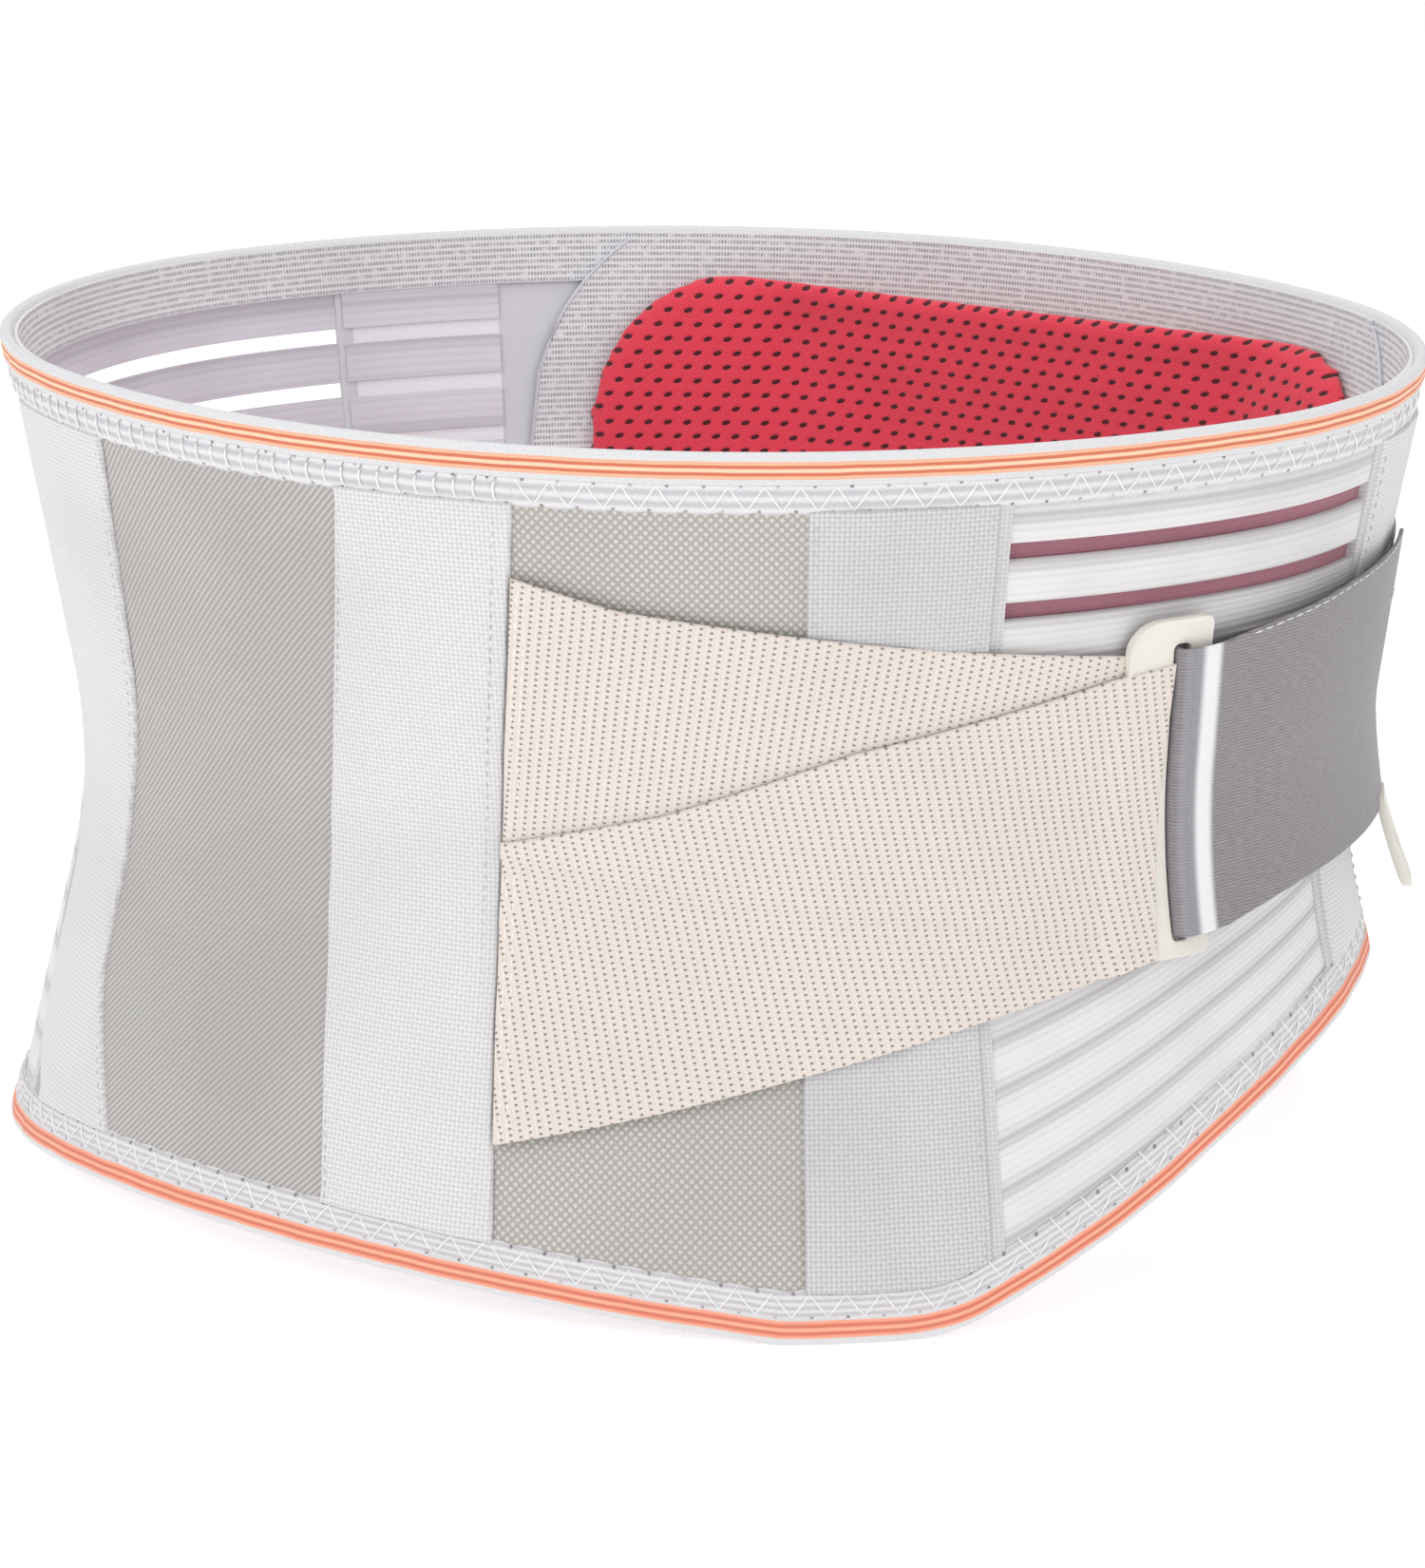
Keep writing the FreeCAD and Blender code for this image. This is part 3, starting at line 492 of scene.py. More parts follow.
@dataclass(frozen=True)
class WovenFinish:
    """Woven or knitted cloth: pitch and depth of its relief in millimetres, and its colours."""

    name: str
    weave: Weave
    dark: Colour
    light: Colour
    pitch: float
    depth: float
    rough: float = 0.85
    sheen: float = 0.15
    lean: float = 0.75

    def relief(self, graph: Graph, u: Sock, v: Sock) -> Sock:
        """Height of the weave from 0 to 1."""
        if self.weave is Weave.TWILL:
            sway = graph.plane_noise(u * 0.02, v * 0.02, 1.0) * 3.0
            across = v * math.cos(self.lean) - u * math.sin(self.lean) + sway
            along = u * math.cos(self.lean) + v * math.sin(self.lean)
            rib = across.wave(self.pitch)
            yarn = (along + across * 0.5).wave(self.pitch * 0.55)
            return rib * 0.75 + yarn * rib * 0.25
        if self.weave is Weave.DIAMOND:
            rise, fall = (u + v).wave(self.pitch), (u - v).wave(self.pitch)
            return (rise * fall).root()
        if self.weave is Weave.PLAIN:
            warp, weft = u.wave(self.pitch), v.wave(self.pitch)
            over = (u.wave(self.pitch * 2) - 0.5) * (v.wave(self.pitch * 2) - 0.5) * 4.0
            return warp * 0.4 + weft * 0.4 + over * 0.1 + 0.1
        if self.weave is Weave.KNIT:
            row = (v * (1 / self.pitch)).fract()
            mark = ((u + (row - 0.5).abs() * 1.3).wave(0.95) * row.band(0.5, 0.2, 0.16)).step(0.35, 0.8)
            return 1.0 - mark * graph.plane_noise(u * 0.4, v * 0.4).step(0.2, 0.6)
        return graph.plane_noise(u * 0.8, v * 3.0, 3.0)

    def build(self) -> bpy.types.Material:
        """Makes the material."""
        graph = Graph(self.name)
        u, v = graph.uv()
        relief = self.relief(graph, u, v)
        fuzz = graph.plane_noise(u * 2.1, v * 2.1, 3.0)
        patch = graph.object_noise(14.0)
        tone = relief * 0.72 + fuzz * 0.28
        colour = graph.mix(tone.step(0.12, 0.88), self.dark, self.light)
        shade = tuple(c * 0.93 for c in self.dark)
        colour = graph.mix(patch.step(0.35, 0.8) * 0.28, colour, shade)
        rough = self.rough - relief * 0.08 + (fuzz - 0.5) * 0.1
        return graph.close(colour, rough, relief * 0.85 + fuzz * 0.15, self.depth,
                           Sheen_Weight=self.sheen, Sheen_Roughness=0.5, Specular_IOR_Level=0.3)


@dataclass(frozen=True)
class RibbedFinish:
    """Elastic of fine parallel ribs with covered rubber yarns between them."""

    name: str
    dark: Colour
    light: Colour
    pitch: float = 2.1
    depth: float = 0.3
    band: float = 12.6

    def build(self) -> bpy.types.Material:
        """Makes the material."""
        graph = Graph(self.name)
        u, v = graph.uv()
        rib = (v.wave(self.pitch)).power(0.6)
        swell = (v.wave(self.band)).power(0.35)
        fuzz = graph.plane_noise(u * 0.5, v * 3.0, 3.0)
        relief = rib * 0.22 + swell * 0.6 + fuzz * 0.18
        patch = graph.object_noise(18.0)
        colour = graph.mix(relief.step(0.2, 0.85), self.dark, self.light)
        colour = graph.mix(patch.step(0.4, 0.8) * 0.3, colour, tuple(c * 0.94 for c in self.dark))
        return graph.close(colour, 0.8 - rib * 0.1, relief, self.depth, Sheen_Weight=0.1,
                           Specular_IOR_Level=0.3)


@dataclass(frozen=True)
class DottedElasticFinish:
    """Wide elastic webbing: rows of small dark needle dots across it."""

    name: str
    base: Colour = (216, 206, 198)
    light: Colour = (230, 221, 213)
    dot: Colour = (122, 112, 106)
    row: float = 2.7
    step_along: float = 1.6

    def build(self) -> bpy.types.Material:
        """Makes the material."""
        graph = Graph(self.name)
        u, v = graph.uv()
        column = (u * (1 / self.row)).floor()
        slide = column.modulo(2.0) * (self.step_along / 2)
        across = ((u * (1 / self.row)).fract() - 0.5) * self.row
        along = (((v + slide) * (1 / self.step_along)).fract() - 0.5) * self.step_along
        reach = (across * across * 0.8 + along * along * 1.8).root()
        dot = reach.step(0.56, 0.24)
        cord = u.wave(self.row / 2)
        yarn = v.wave(0.62)
        fuzz = graph.plane_noise(u * 1.8, v * 1.8, 3.0)
        patch = graph.object_noise(16.0)
        colour = graph.mix(cord * 0.5 + fuzz * 0.5, self.base, self.light)
        colour = graph.mix(patch.step(0.4, 0.8) * 0.25, colour, (211, 201, 193))
        colour = graph.mix(dot * 0.85, colour, self.dot)
        relief = cord * 0.4 + yarn * 0.2 + fuzz * 0.15 - dot * 0.6 + 0.4
        return graph.close(colour, 0.82, relief, 0.22, Sheen_Weight=0.12, Specular_IOR_Level=0.3)


@dataclass(frozen=True)
class SatinFinish:
    """Grey satin webbing with a fine grain along it, with a painted highlight where it folds over the bar and
    painted shade that darkens its tail towards the far end.
    """

    name: str
    dark: Colour = (106, 102, 107)
    light: Colour = (152, 148, 152)
    fold: float = 19.1

    def build(self) -> bpy.types.Material:
        """Makes the material."""
        graph = Graph(self.name)
        u, v = graph.uv()
        grain = graph.plane_noise(u * 0.28, v * 4.2, 4.0)
        fine = graph.plane_noise(u * 1.2, v * 9.0, 2.0)
        yarn = v.wave(0.9)
        tone = grain * 0.6 + fine * 0.25 + yarn * 0.15
        colour = graph.mix(tone.step(0.3, 0.72), self.dark, self.light)
        # Painted shade: the tail darkens towards its far end as it turns away.
        colour = graph.mix(u.step(self.fold + 30.0, self.fold + 110.0) * 0.35, colour, (104, 100, 106))
        # Painted light on the fold over the bar: a grey band on its side, then a white painted highlight on
        # its crest.
        painted_fold_highlight = u.band(self.fold + 1.6, 1.3, 2.4)
        painted_fold_light = u.band(self.fold - 3.6, 2.8, 1.0)
        colour = graph.mix(painted_fold_light * 0.45, colour, (158, 156, 162))
        colour = graph.mix(painted_fold_highlight * 0.85, colour, (240, 240, 243))
        return graph.close(colour, 0.42 + grain * 0.2, tone, 0.1, Sheen_Weight=0.2, Anisotropic=0.4,
                           Specular_IOR_Level=0.5)


@dataclass(frozen=True)
class BindingFinish:
    """White folded binding with a run of orange lines; v is counted from the fold, in millimetres."""

    name: str
    lines_from: float
    lines_to: float
    white: Colour = (226, 226, 227)
    peach: Colour = (255, 196, 160)
    orange: Colour = (206, 104, 78)
    cream: Colour = (255, 222, 190)
    edge: Colour = (248, 176, 148)

    def build(self) -> bpy.types.Material:
        """Makes the material."""
        graph = Graph(self.name)
        u, v = graph.uv()
        middle = (self.lines_from + self.lines_to) / 2
        half = (self.lines_to - self.lines_from) / 2
        wobble = (graph.plane_noise(u * 0.12, v * 0.2, 1.0) - 0.5) * 0.25
        w = v + wobble
        inside = w.band(middle, half, 0.18)
        lines = (w.band(middle - half * 0.42, half * 0.13, half * 0.16)).high(
            w.band(middle + half * 0.42, half * 0.13, half * 0.16))
        core = w.band(middle, half * 0.18, half * 0.2)
        rim = 1.0 - w.band(middle, half * 0.72, half * 0.2)
        thread = (u + v * 0.4).wave(0.85)
        fuzz = graph.plane_noise(u * 1.6, v * 2.4, 3.0)
        band = graph.mix(core * 0.7, self.peach, self.cream)
        band = graph.mix(rim * 0.8, band, self.edge)
        band = graph.mix(lines * 0.9, band, self.orange)
        band = graph.mix(thread * 0.14, band, self.orange)
        plain = graph.mix(fuzz.step(0.25, 0.8), (210, 210, 213), self.white)
        colour = graph.mix(inside, plain, band)
        relief = thread * 0.3 + fuzz * 0.3 - lines * inside * 0.3 + 0.3
        return graph.close(colour, 0.72, relief, 0.18, Sheen_Weight=0.12, Specular_IOR_Level=0.35)


@dataclass(frozen=True)
class SeamTapeFinish:
    """White stitched tape with painted shade in its needle holes; v is counted from its edge at the binding,
    in millimetres.
    """

    name: str
    width: float
    hole_step: float
    ribs: float
    white: Colour = (226, 224, 226)
    grey: Colour = (192, 190, 194)
    # Colour of the painted shade in the needle holes.
    hole: Colour = (122, 118, 120)

    def build(self) -> bpy.types.Material:
        """Makes the material."""
        graph = Graph(self.name)
        u, v = graph.uv()
        fuzz = graph.plane_noise(u * 1.1, v * 2.2, 3.0)
        rib = v.wave(self.ribs)
        holes = None
        for row, slide in ((0.5, 0.0), (self.width - 0.45, 0.5)):
            across = ((u * (1 / self.hole_step) + slide).fract() - 0.5) * self.hole_step
            reach = (across * across + (v - row) * (v - row)).root()
            fade = graph.plane_noise(u * 0.05, v * 0.0 + row, 1.0).step(0.3, 0.62)
            spot = reach.step(0.62, 0.25) * (fade * 0.6 + 0.3)
            holes = spot if holes is None else holes.high(spot)
        colour = graph.mix((rib * 0.5 + fuzz * 0.6).step(0.2, 0.9), self.grey, self.white)
        # Painted shade: the needle holes are darkened.
        colour = graph.mix(holes, colour, self.hole)
        relief = rib * 0.45 + fuzz * 0.25 - holes * 0.9 + 0.5
        return graph.close(colour, 0.82, relief, 0.3, Sheen_Weight=0.12, Specular_IOR_Level=0.3)


@dataclass(frozen=True)
class AirMeshFinish:
    """Red air mesh: staggered round holes darkened by painted shade, over a fine diagonal weave."""

    name: str
    base: Colour = (216, 46, 66)
    light: Colour = (236, 78, 96)
    # Colour of the painted shade in the holes.
    hole: Colour = (74, 10, 22)
    step_along: float = 6.5
    row: float = 4.1

    def build(self) -> bpy.types.Material:
        """Makes the material."""
        graph = Graph(self.name)
        u, v = graph.uv()
        level = (v * (1 / self.row)).floor()
        slide = level.modulo(2.0) * (self.step_along / 2)
        across = (((u + slide) * (1 / self.step_along)).fract() - 0.5) * self.step_along
        along = ((v * (1 / self.row)).fract() - 0.5) * self.row
        tilted = across + along * 0.7
        reach = (tilted * tilted * 0.5 + along * along * 1.5).root()
        hole = reach.step(1.05, 0.75)
        lip = reach.step(1.6, 0.95)
        weave = (u * 0.8 + v).wave(1.0) * 0.6 + (u - v * 0.8).wave(0.9) * 0.4
        fuzz = graph.plane_noise(u * 1.5, v * 1.5, 3.0)
        patch = graph.object_noise(12.0)
        colour = graph.mix((weave * 0.6 + fuzz * 0.4).step(0.2, 0.9), self.base, self.light)
        colour = graph.mix(patch.step(0.4, 0.8) * 0.3, colour, (208, 44, 64))
        # Painted shade: the holes are darkened.
        colour = graph.mix(hole, colour, self.hole)
        relief = weave * 0.15 + fuzz * 0.08 - lip * 0.4 - hole * 0.6 + 1.0
        return graph.close(colour, 0.75, relief, 0.55, Sheen_Weight=0.2, Specular_IOR_Level=0.3)


@dataclass(frozen=True)
class MouldedFinish:
    """Moulded plastic with a faint grain."""

    name: str
    base: Colour
    worn: Colour
    rough: float = 0.42

    def build(self) -> bpy.types.Material:
        """Makes the material."""
        graph = Graph(self.name)
        grain = graph.object_noise(900.0, 3.0)
        patch = graph.object_noise(25.0)
        colour = graph.mix(patch.step(0.35, 0.75), self.base, self.worn)
        return graph.close(colour, self.rough + grain * 0.12, grain, 0.04, Specular_IOR_Level=0.5)


@dataclass(frozen=True)
class SteelFinish:
    """Flat spring steel with brushing along it."""

    name: str

    def build(self) -> bpy.types.Material:
        """Makes the material."""
        graph = Graph(self.name)
        place = graph.node("ShaderNodeTexCoord", None, None, "Object")
        stretched = graph.node("ShaderNodeMapping", None, {"Vector": place, "Scale": (900.0, 900.0, 20.0)})
        brush = graph.node("ShaderNodeTexNoise", None, {"Vector": stretched, "Scale": 1.0, "Detail": 2.0})
        colour = graph.mix(brush, (150, 153, 158), (186, 188, 192))
        return graph.close(colour, 0.3 + brush * 0.15, brush, 0.02, Metallic=1.0)


@dataclass(frozen=True)
class ThreadFinish:
    """Sewing thread with its twist."""

    name: str
    base: Colour
    light: Colour

    def build(self) -> bpy.types.Material:
        """Makes the material."""
        graph = Graph(self.name)
        twist = graph.object_noise(1400.0, 1.0)
        colour = graph.mix(twist, self.base, self.light)
        return graph.close(colour, 0.6, twist, 0.05, Sheen_Weight=0.1)


@dataclass(frozen=True)
class PileFinish:
    """Hook or loop fastening tape."""

    name: str
    dark: Colour
    light: Colour
    pitch: float

    def build(self) -> bpy.types.Material:
        """Makes the material."""
        graph = Graph(self.name)
        u, v = graph.uv()
        tuft = u.wave(self.pitch) * v.wave(self.pitch * 1.2)
        fuzz = graph.plane_noise(u * 3.0, v * 3.0, 4.0)
        tone = tuft * 0.5 + fuzz * 0.5
        return graph.close(graph.mix(tone, self.dark, self.light), 0.95, tone, 0.4, Sheen_Weight=0.3,
                           Specular_IOR_Level=0.15)


class Finishes:
    """All materials of the belt, each made once."""

    def __init__(self) -> None:
        """Builds every material."""
        woven = WovenFinish
        recipes = [
            woven("twill", Weave.TWILL, (160, 157, 155), (201, 198, 196), 1.45, 0.2, lean=0.785),
            woven("cross_weave", Weave.DIAMOND, (168, 164, 159), (210, 206, 201), 2.5, 0.3),
            woven("silver_cloth", Weave.PLAIN, (196, 194, 196), (230, 228, 229), 1.25, 0.2, 0.6, 0.25),
            woven("silver_grey_cloth", Weave.PLAIN, (178, 177, 180), (218, 217, 219), 1.25, 0.2, 0.6, 0.25),
            woven("lining", Weave.SMOOTH, (204, 203, 210), (222, 221, 228), 1.0, 0.06, 0.7),
            woven("white_knit", Weave.KNIT, (150, 152, 158), (232, 232, 234), 1.8, 0.25),
            RibbedFinish("ribbed_elastic", (190, 187, 189), (226, 224, 225)),
            woven("seam_tape_plain", Weave.PLAIN, (190, 188, 190), (218, 216, 218), 1.2, 0.12),
            woven("white_cloth", Weave.SMOOTH, (236, 235, 240), (248, 248, 250), 1.0, 0.06, 0.7),
            RibbedFinish("ribbed_lavender", (196, 193, 202), (218, 215, 224), 2.4),
            DottedElasticFinish("dotted_elastic"),
            SatinFinish("satin_strap"),
            BindingFinish("rim_binding", 2.2, 6.6),
            BindingFinish("hem_binding", 2.1, 6.2, cream=(255, 188, 160), peach=(246, 160, 134),
                          orange=(214, 118, 96)),
            SeamTapeFinish("seam_tape", 7.5, 9.0, 3.0),
            SeamTapeFinish("hem_tape", 7.0, 9.0, 1.75),
            AirMeshFinish("red_mesh"),
            MouldedFinish("ivory_plastic", (229, 226, 217), (220, 217, 208)),
            MouldedFinish("foam", (120, 120, 124), (104, 104, 108), 0.9),
            SteelFinish("stay_steel"),
            # Painted shade: mauve colour of the shaded red pad seen through the slots.
            woven("painted_slot_shade", Weave.PLAIN, (146, 96, 108), (164, 112, 124), 1.0, 0.1),
            ThreadFinish("white_thread", (224, 224, 226), (250, 250, 250)),
            ThreadFinish("grey_thread", (186, 186, 192), (220, 220, 226)),
            ThreadFinish("red_thread", (176, 26, 46), (214, 52, 70)),
            PileFinish("hook_tape", (150, 150, 152), (196, 196, 198), 1.4),
            PileFinish("loop_pile", (176, 176, 178), (222, 222, 222), 2.2),
        ]
        self._made = {recipe.name: recipe.build() for recipe in recipes}

    def __getitem__(self, name: str) -> bpy.types.Material:
        """The material of that name."""
        return self._made[name]


# ------------------------------------------------------------------ mesh helpers

def spaced(start: float, end: float, step: float, fine: float = 0.0) -> Array:
    """Evenly spaced values, with finer ones by both ends for a rounded edge.

    Args:
        start: First value.
        end: Last value.
        step: Largest spacing.
        fine: Width of the finely spaced stretch at each end, or 0 for none.

    Returns:
        The values in order.
    """
    count = max(2, int(math.ceil(abs(end - start) / step)) + 1)
    values = np.linspace(start, end, count)
    if fine > 0:
        way = 1 if end > start else -1
        steps = fine * np.array([0.12, 0.3, 0.55, 0.8, 1.0])
        inner = values[(np.abs(values - start) > fine * 1.05) & (np.abs(values - end) > fine * 1.05)]
        values = np.concatenate([[start], start + way * steps, inner, end - way * steps[::-1], [end]])
    return values


def round_off(distance: Array, radius: float) -> Array:
    """Share of full height at a distance from a rounded edge."""
    reach = np.clip(distance / radius, 0, 1)
    return np.sqrt(np.maximum(1 - (1 - reach) ** 2, 0))


def make_object(name: str, points: Array, faces: list, uv: Array | None,
                material: bpy.types.Material, smooth: float = 40.0) -> bpy.types.Object:
    """Makes an object from points and faces.

    Args:
        name: Name of the piece.
        points: Points in millimetres.
        faces: Corner indices of each face.
        uv: Cloth coordinates of each point in millimetres, or None.
        material: Finish of the piece.
        smooth: Largest angle between faces that are shaded as one, in degrees.

    Returns:
        The new object, at the origin.
    """
    mesh = bpy.data.meshes.new(name)
    mesh.from_pydata((points * MM).tolist(), [], faces)
    mesh.validate()
    if uv is not None:
        layer = mesh.uv_layers.new(name=UV_NAME)
        corner = np.zeros(len(mesh.loops), int)
        mesh.loops.foreach_get("vertex_index", corner)
        layer.data.foreach_set("uv", (uv[corner] * MM).astype(np.float32).ravel())
    mesh.materials.append(material)
    mesh.polygons.foreach_set("use_smooth", [True] * len(mesh.polygons))
    mesh.set_sharp_from_angle(angle=math.radians(smooth))
    piece = bpy.data.objects.new(name, mesh)
    bpy.context.scene.collection.objects.link(piece)
    return piece


def grid_faces(rows: int, columns: int, first: int, flip: bool) -> list:
    """Quads of a grid of points stored row by row."""
    r, c = np.meshgrid(np.arange(rows - 1), np.arange(columns - 1), indexing="ij")
    a = (first + r * columns + c).ravel()
    quads = np.stack([a, a + columns, a + columns + 1, a + 1], axis=1)
    return (quads[:, ::-1] if flip else quads).tolist()


def closed_sheet(name: str, outer: Array, inner: Array, uv: Array, material: bpy.types.Material,
                 inside: bpy.types.Material | None = None) -> bpy.types.Object:
    """Thin closed solid between two grids of points.

    Args:
        name: Name of the piece.
        outer: Outer points, with axes along, up and xyz.
        inner: Inner points of the same shape.
        uv: Cloth coordinates of each point, with axes along, up and uv.
        material: Finish of the piece.
        inside: Finish of the inner face, where it differs.

    Returns:
        The new object.
    """
    rows, columns = outer.shape[:2]
    count = rows * columns
    faces = grid_faces(rows, columns, 0, False) + grid_faces(rows, columns, count, True)
    index = np.arange(count).reshape(rows, columns)
    ring = np.concatenate([index[:-1, 0], index[-1, :-1], index[:0:-1, -1], index[0, :0:-1]])
    nxt = np.roll(ring, -1)
    faces += np.stack([ring, ring + count, nxt + count, nxt], axis=1).tolist()
    points = np.concatenate([outer.reshape(-1, 3), inner.reshape(-1, 3)])
    flat = np.concatenate([uv.reshape(-1, 2)] * 2)
    piece = make_object(name, points, faces, flat, material)
    if inside is not None:
        piece.data.materials.append(inside)
        quads = (rows - 1) * (columns - 1)
        for face in piece.data.polygons[quads:2 * quads]:
            face.material_index = 1
    return piece


Curve = Callable[[Array], Array]
Relief = Callable[[Array, Array], Array]


def level(value: float) -> Curve:
    """A height that is the same all round."""
    return lambda s: np.full(np.shape(s), float(value))


def hem_line(lift: float) -> Curve:
    """A height that follows the hem."""
    return lambda s: FORM.hem(s) + lift


@dataclass
class Cloth:
    """A piece of cloth on the wall between two seams and two heights, in millimetres."""

    name: str
    start: float
    end: float
    low: Curve
    high: Curve
    inner: float
    outer: float
    finish: str
    step: float = 4.0
    rows: float = 4.0
    relief: Relief | None = None
    edge: float = 0.0
    slope: float = 0.0
    nominal: float = 0.0
    inside: str = ""
    start_seam: Seam | None = None
    end_seam: Seam | None = None

    def build(self, finishes: Finishes) -> bpy.types.Object:
        """Makes the piece, with its own relief and rounded edges on the outer face."""
        s = spaced(self.start, self.end, self.step, self.edge)
        middle = np.array([(self.start + self.end) / 2])
        tall = float((self.high(middle) - self.low(middle))[0])
        share = spaced(0.0, tall, self.rows, self.edge) / tall
        nominal = np.repeat(s[:, None], len(share), axis=1)
        z = self.low(nominal) + (self.high(nominal) - self.low(nominal)) * share[None, :]
        part = (nominal - self.start) / (self.end - self.start)
        along = nominal + (1 - part) * sway(self.start_seam)(z) + part * sway(self.end_seam)(z)
        low, high = self.low(along), self.high(along)
        z = low + (high - low) * share[None, :]
        out = np.full(z.shape, self.outer)
        if self.relief is not None:
            out = out + self.relief(along, z)
        under = out - (self.outer - self.inner)
        if self.edge > 0:
            ends = np.minimum(nominal - self.start, self.end - nominal)
            sides = np.minimum(z - low, high - z)
            rise = round_off(np.minimum(ends, sides), self.edge)
            out = under + 0.15 + (out - under - 0.15) * rise
        turn = math.atan(self.slope)
        u = along * math.cos(turn) + z * math.sin(turn)
        v = z * math.cos(turn) - along * math.sin(turn)
        if self.nominal > 0:
            v = np.broadcast_to(share[None, :] * self.nominal, z.shape)
        outer = FORM.place(along, z, out)
        inner = FORM.place(along, z, under)
        inside = finishes[self.inside] if self.inside else None
        return closed_sheet(self.name, outer, inner, np.stack([u, v], axis=-1), finishes[self.finish], inside)


def ripple(scale: float, size: float, seed: float) -> Relief:
    """Soft unevenness of cloth: a few crossing waves.

    Args:
        scale: Length of the longest wave.
        size: Height of the waves.
        seed: Shift that makes two pieces differ.

    Returns:
        Relief of arc length and height.
    """
    def relief(s: Array, z: Array) -> Array:
        """Sum of three waves."""
        a = np.sin(s / scale * 2.1 + z / scale * 1.3 + seed)
        b = np.sin(s / scale * 3.7 - z / scale * 2.4 + seed * 2.3)
        c = np.sin(z / scale * 5.1 + seed * 0.7)
        return size * (a * 0.5 + b * 0.3 + c * 0.2)
    return relief


def channels(places: Sequence[float], half: float, rise: float) -> Relief:
    """Bulge of cloth over upright stays."""
    def relief(s: Array, z: Array) -> Array:
        """The same bulge at all heights."""
        out = np.zeros(np.shape(s))
        for place in places:
            out = out + rise * np.clip(1 - ((s - place) / half) ** 2, 0, 1) ** 0.7
        return out
    return relief


def both(*parts: Relief) -> Relief:
    """Sum of several reliefs."""
    return lambda s, z: sum(part(s, z) for part in parts)


def tube(points: Array, radius: float, sides: int = 5) -> tuple[Array, list]:
    """Points and faces of a closed tube along a line.

    Args:
        points: Points of the line.
        radius: Radius of the tube.
        sides: Number of its sides.

    Returns:
        The tube's points and faces.
    """
    ahead = np.gradient(points, axis=0)
    ahead /= np.maximum(np.linalg.norm(ahead, axis=1, keepdims=True), 1e-9)
    helper = np.where(np.abs(ahead[:, 2:3]) > 0.9, [[1.0, 0.0, 0.0]], [[0.0, 0.0, 1.0]])
    side = np.cross(ahead, helper)
    side /= np.maximum(np.linalg.norm(side, axis=1, keepdims=True), 1e-9)
    up = np.cross(side, ahead)
    turn = np.linspace(0, 2 * math.pi, sides, endpoint=False)
    ring = side[:, None, :] * np.cos(turn)[None, :, None] + up[:, None, :] * np.sin(turn)[None, :, None]
    taper = np.ones(len(points))
    taper[0] = taper[-1] = 0.55
    mesh = points[:, None, :] + ring * radius * taper[:, None, None]
    count = len(points)
    faces = []
    for i in range(count - 1):
        for k in range(sides):
            a, b = i * sides + k, i * sides + (k + 1) % sides
            faces.append([a, a + sides, b + sides, b])
    faces.append(list(range(sides)))
    faces.append([(count - 1) * sides + k for k in range(sides)][::-1])
    return mesh.reshape(-1, 3), faces


@dataclass
class Stitches:
    """Sewn threads gathered into one piece."""

    name: str
    finish: str
    radius: float = 0.25
    points: list = field(default_factory=list)
    faces: list = field(default_factory=list)

    def add(self, s: Sequence[float], z: Sequence[float], out: Sequence[float]) -> None:
        """Adds one thread along places on the wall."""
        line = FORM.place(np.array(s, float), np.array(z, float), np.array(out, float))
        mesh, faces = tube(line, self.radius, 4)
        first = sum(len(block) for block in self.points)
        self.points.append(mesh)
        self.faces += [[index + first for index in face] for face in faces]

    def upright(self, s: float, low: float, high: float, out: float, length: float = 2.2,
                gap: float = 1.3, seam: Seam | None = None) -> None:
        """Adds a row of upright running stitches that follows a seam."""
        count = int((high - low) / (length + gap))
        for index in range(count):
            z = low + index * (length + gap) + np.array([0.0, length / 2, length])
            self.add(s + sway(seam)(z), z, [out - 0.15, out + 0.1, out - 0.15])

    def zigzag(self, start: float, end: float, low: Curve, high: Curve, pitch: float, out: float,
               square: bool = False) -> None:
        """Adds a zigzag between two edges, or upright loops where square."""
        count = int((end - start) / pitch)
        for index in range(count):
            s = start + (index + 0.5) * pitch
            a, b = float(low(np.array([s]))[0]), float(high(np.array([s]))[0])
            if square:
                bend = s + pitch * np.array([0.0, -0.12, -0.16, -0.1, 0.05])
                self.add(bend, np.linspace(a, b, 5), out + np.array([-0.1, 0.25, 0.35, 0.25, -0.1]))
                continue
            for first, last, z0, z1 in ((s - pitch / 2, s, b, a), (s, s + pitch / 2, a, b)):
                rise = out + np.array([-0.15, 0.25, -0.15])
                self.add(np.linspace(first, last, 3), np.linspace(z0, z1, 3), rise)

    def build(self, finishes: Finishes) -> bpy.types.Object:
        """Makes the piece."""
        points = np.concatenate(self.points)
        return make_object(self.name, points, self.faces, None, finishes[self.finish], 80.0)


def sweep(name: str, s: Array, section: Callable[[Array], tuple[Array, Array]], v: Array,
          material: bpy.types.Material) -> bpy.types.Object:
    """Closed section swept along the wall.

    Args:
        name: Name of the piece.
        s: Arc lengths of the section's stations.
        section: Gives the section's distances outwards and heights at all stations.
        v: Cloth coordinate of each point of the section.
        material: Finish of the piece.

    Returns:
        The new object.
    """
    out, z = section(s)
    stations, count = out.shape
    points = FORM.place(np.repeat(s[:, None], count, axis=1), z, out)
    faces = []
    for i in range(stations - 1):
        for k in range(count):
            a, b = i * count + k, i * count + (k + 1) % count
            faces.append([a, b, b + count, a + count])
    faces.append(list(range(count))[::-1])
    faces.append([(stations - 1) * count + k for k in range(count)])
    uv = np.stack([np.repeat(s[:, None], count, axis=1), np.repeat(v[None, :], stations, axis=0)], axis=-1)
    return make_object(name, points.reshape(-1, 3), faces, uv.reshape(-1, 2), material, 50.0)


